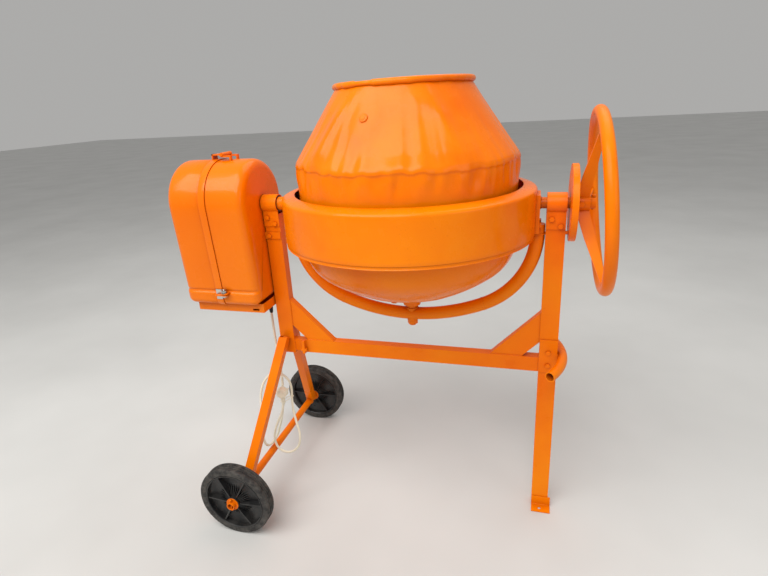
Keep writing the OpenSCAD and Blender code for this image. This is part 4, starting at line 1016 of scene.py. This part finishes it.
def make_cover(materials):
    """Outer half of the housing with its clamp tab and its leaf of the hinge."""
    seam_gap, leaf_left, leaf_half = 0.0005, DRUM_X - 0.604, 0.013
    leaf_top, leaf_sheet = 1.132, 0.004
    rings = shell_rings(SEAM_X - seam_gap, COVER_LEFT, bend=0.030, wall=0.004, lip=0.0026)
    tab = box_mesh("under_tab", (CLAMP_X - 0.030, CLAMP_Y - 0.008, 0.7165),
                   (CLAMP_X + 0.010, CLAMP_Y + 0.006, 0.7190))
    upright = box_mesh("leaf", (leaf_left, -leaf_half, 1.112),
                       (leaf_left + leaf_sheet, leaf_half, leaf_top))
    level = box_mesh("leaf_top", (leaf_left, -leaf_half, leaf_top - leaf_sheet),
                     (HINGE_X - 0.002, leaf_half, leaf_top))
    knuckle_half = [(0.0042, -0.0138), (0.0066, -0.0138), (0.0070, -0.0134)]
    knuckle = lathe("knuckle", knuckle_half + mirror(knuckle_half), turns=32,
                    place=about_y(HINGE_X, 0, HINGE_Z))
    meshes = [shell_mesh("cover", rings), tab, upright, level, knuckle]
    add_piece("housing_cover_pressed", joined("housing_cover_pressed", meshes),
              materials["housing_paint"], "cover", ("housing_cover",), "housing_paint")


def hexagon_mesh(name, low, height, turn):
    """Chamfered hexagon head or nut of the clamp bolt, upright."""
    across, chamfer = 0.0082, 0.0008
    levels = [(0.94, 0.0), (1.0, chamfer), (1.0, height - chamfer), (0.94, height)]
    profile = [(across * share, low + level) for share, level in levels]
    place = about_z(CLAMP_X, CLAMP_Y)
    points = lathe_points(profile, 6, lambda r, z, a: place(r, z, a + math.radians(turn)))
    return mesh_from(name, points, grid_faces(len(profile), 6, cap_ends=True), 25)


def make_clamp_bolt(materials):
    """Zinc bolt of the cover's clamp, with its thread, nut, washer and clip."""
    thread_low, thread_step, thread_turns, crest, root = 0.7115, 0.0005, 52, 0.0038, 0.0033
    steps = range(thread_turns + 1)
    path = [(CLAMP_X, CLAMP_Y, thread_low + thread_step * step) for step in steps]
    shank = tube_mesh("clamp_shank", path, [crest if step % 2 else root for step in steps], 20)
    head = hexagon_mesh("clamp_head", low=0.7108, height=0.0056, turn=12)
    nut = hexagon_mesh("clamp_nut", low=0.7262, height=0.0064, turn=40)
    washer_profile = [(0.0042, 0.7252), (0.0098, 0.7252), (0.0098, 0.7262), (0.0042, 0.7262)]
    washer = lathe("clamp_washer", washer_profile, turns=28, place=about_z(CLAMP_X, CLAMP_Y))
    clip = box_mesh("clamp_clip", (CLAMP_X - 0.032, -0.1150, 0.7020),
                    (CLAMP_X - 0.012, -0.1105, 0.7340))
    add_piece("clamp_bolt", joined("clamp_bolt", [shank, head, nut, washer, clip], 25),
              materials["zinc"], "cover", ("cover_bolt",), "zinc")


# ---------- wheels ----------

WHEEL_X = DRUM_X - 0.508
WHEEL_Y = 0.317
WHEEL_RADIUS = 0.118
TYRE_HALF_WIDTH = 0.021
GROOVE_BOTTOM = 0.1156
RIB_START = 0.0205
# Outer end, height at the hub, height at the end and half thickness of a rib
LONG_RIB = (0.0930, 0.0212, 0.0165, 0.0026)
SHORT_RIB = (0.0560, 0.0180, 0.0032, 0.0011)
SHORT_RIB_ANGLES = (12, 21, 30, 39, 48)


def tyre_profile():
    """Rounded shoulders and three grooves round the tread."""
    half = TYRE_HALF_WIDTH
    side = [(0.0960, -half + 0.004), (0.0980, -half + 0.001), (0.1020, -half), (0.1125, -half),
            (0.1150, -half + 0.0010), (0.1172, -half + 0.0035), (WHEEL_RADIUS, -half + 0.0070)]
    grooves = []
    for middle in (-0.0075, 0.0, 0.0075):
        grooves += [(WHEEL_RADIUS, middle - 0.0022), (GROOVE_BOTTOM, middle - 0.0014),
                    (GROOVE_BOTTOM, middle + 0.0014), (WHEEL_RADIUS, middle + 0.0022)]
    return side + grooves + mirror(side)


def make_wheel(name, side, materials):
    """Black moulded wheel: grooved tyre, dished web, six ribs and a fan of small ones."""
    centre = Vector((WHEEL_X, side * WHEEL_Y, WHEEL_RADIUS))
    about_axle = about_y(*centre)
    tyre = lathe(name + "_tyre", tyre_profile(), turns=96, place=about_axle)
    add_piece(name + "_tyre", tyre, materials["wheel_rubber"], name, (), "wheel_rubber")
    rim_half = [(0.0126, -0.0248), (0.0190, -0.0248), (0.0205, -0.0235), (0.0215, -0.0050),
                (0.0260, -0.0030), (0.0800, -0.0026), (0.0905, -0.0050), (0.0925, -0.0190),
                (0.0940, -0.0205), (0.0966, -0.0205)]
    parts = [lathe(name + "_rim", rim_half + mirror(rim_half), turns=96, place=about_axle)]
    for face in (-1, 1):
        for angle in range(0, 360, 60):
            parts.append(wheel_rib(centre, face, angle, LONG_RIB))
            parts += [wheel_rib(centre, face, angle + turn, SHORT_RIB) for turn in SHORT_RIB_ANGLES]
    add_piece(name + "_hub", joined(name + "_hub", parts), materials["wheel_plastic"], name,
              (name,), "wheel_rubber")


def wheel_rib(centre, face, angle, rib):
    """Radial rib that stands up from the web."""
    end, rise, fall, thick = rib
    a = math.radians(angle)
    out = Vector((math.cos(a), 0, math.sin(a)))
    across = Vector((-math.sin(a), 0, math.cos(a)))
    up = Vector((0, face, 0))
    points = []
    for distance, height in ((RIB_START, rise), (end, fall)):
        for level, width in ((0.001, thick * 1.4), (height, thick * 0.8)):
            for way in (-1, 1):
                points.append(centre + out * distance + up * level + across * way * width)
    return mesh_from("rib", points, BOX_FACES)


# ---------- frame members ----------

BODY_OF = {node: body for body, nodes in frame["record"]["behaviour"]["bodies"].items()
           for node in nodes}
SLOT_OF = {part["node"]: part["material_slot"] for part in frame["record"]["subparts"]}
ROUNDED = {
    "left_post": 0.0022, "right_post": 0.0022, "right_leg": 0.0022, "joint_plate": 0.0008,
    "foot": 0.0008, "cross_beam": 0.0022, "beam_socket": 0.0014, "left_brace": 0.0012,
    "right_brace": 0.0012, "front_wheel_leg": 0.0020, "rear_wheel_leg": 0.0020,
    "left_bearing_bracket": 0.0008, "right_bearing_bracket": 0.0008, "housing_band": 0.0008,
    "housing_base": 0.0020, "frame_bolts": 0.0006, "yoke_bolts": 0.0006, "drum_bolts": 0.0006,
    "handwheel_bolt": 0.0006, "locking_disc": 0.0010, "cover_hinge": 0.0008,
}
PAINTED_OVER = ("drum_spindle", "axle_washers")     # bare steel in the record


def make_frame_members(materials):
    for node, width in ROUNDED.items():
        rounded_copy(node, width, materials[SLOT_OF[node]], SLOT_OF[node])
    for node, thing in frame["nodes"].items():
        material = materials["paint" if node in PAINTED_OVER else SLOT_OF[node]]
        for slot in thing.material_slots:
            slot.material = material


def make_floor(material):
    half = 25.0
    points = [(-half, -half, 0), (half, -half, 0), (half, half, 0), (-half, half, 0)]
    mesh = mesh_from("floor", points, [(0, 1, 2, 3)])
    floor = bpy.data.objects.new("floor", mesh)
    bpy.context.scene.collection.objects.link(floor)
    mesh.materials.append(material)


# ---------- everything ----------

add_camera()
add_studio()
MATERIALS = make_materials()
make_cord(MATERIALS)
make_strain_relief(MATERIALS)
make_drum(MATERIALS)
make_blade_bolt_heads(MATERIALS)
make_guard(MATERIALS)
make_welds(MATERIALS)
make_shell(MATERIALS)
make_cover(MATERIALS)
make_clamp_bolt(MATERIALS)
make_wheel("front_wheel", -1, MATERIALS)
make_wheel("rear_wheel", 1, MATERIALS)
make_frame_members(MATERIALS)
make_floor(floor_material())
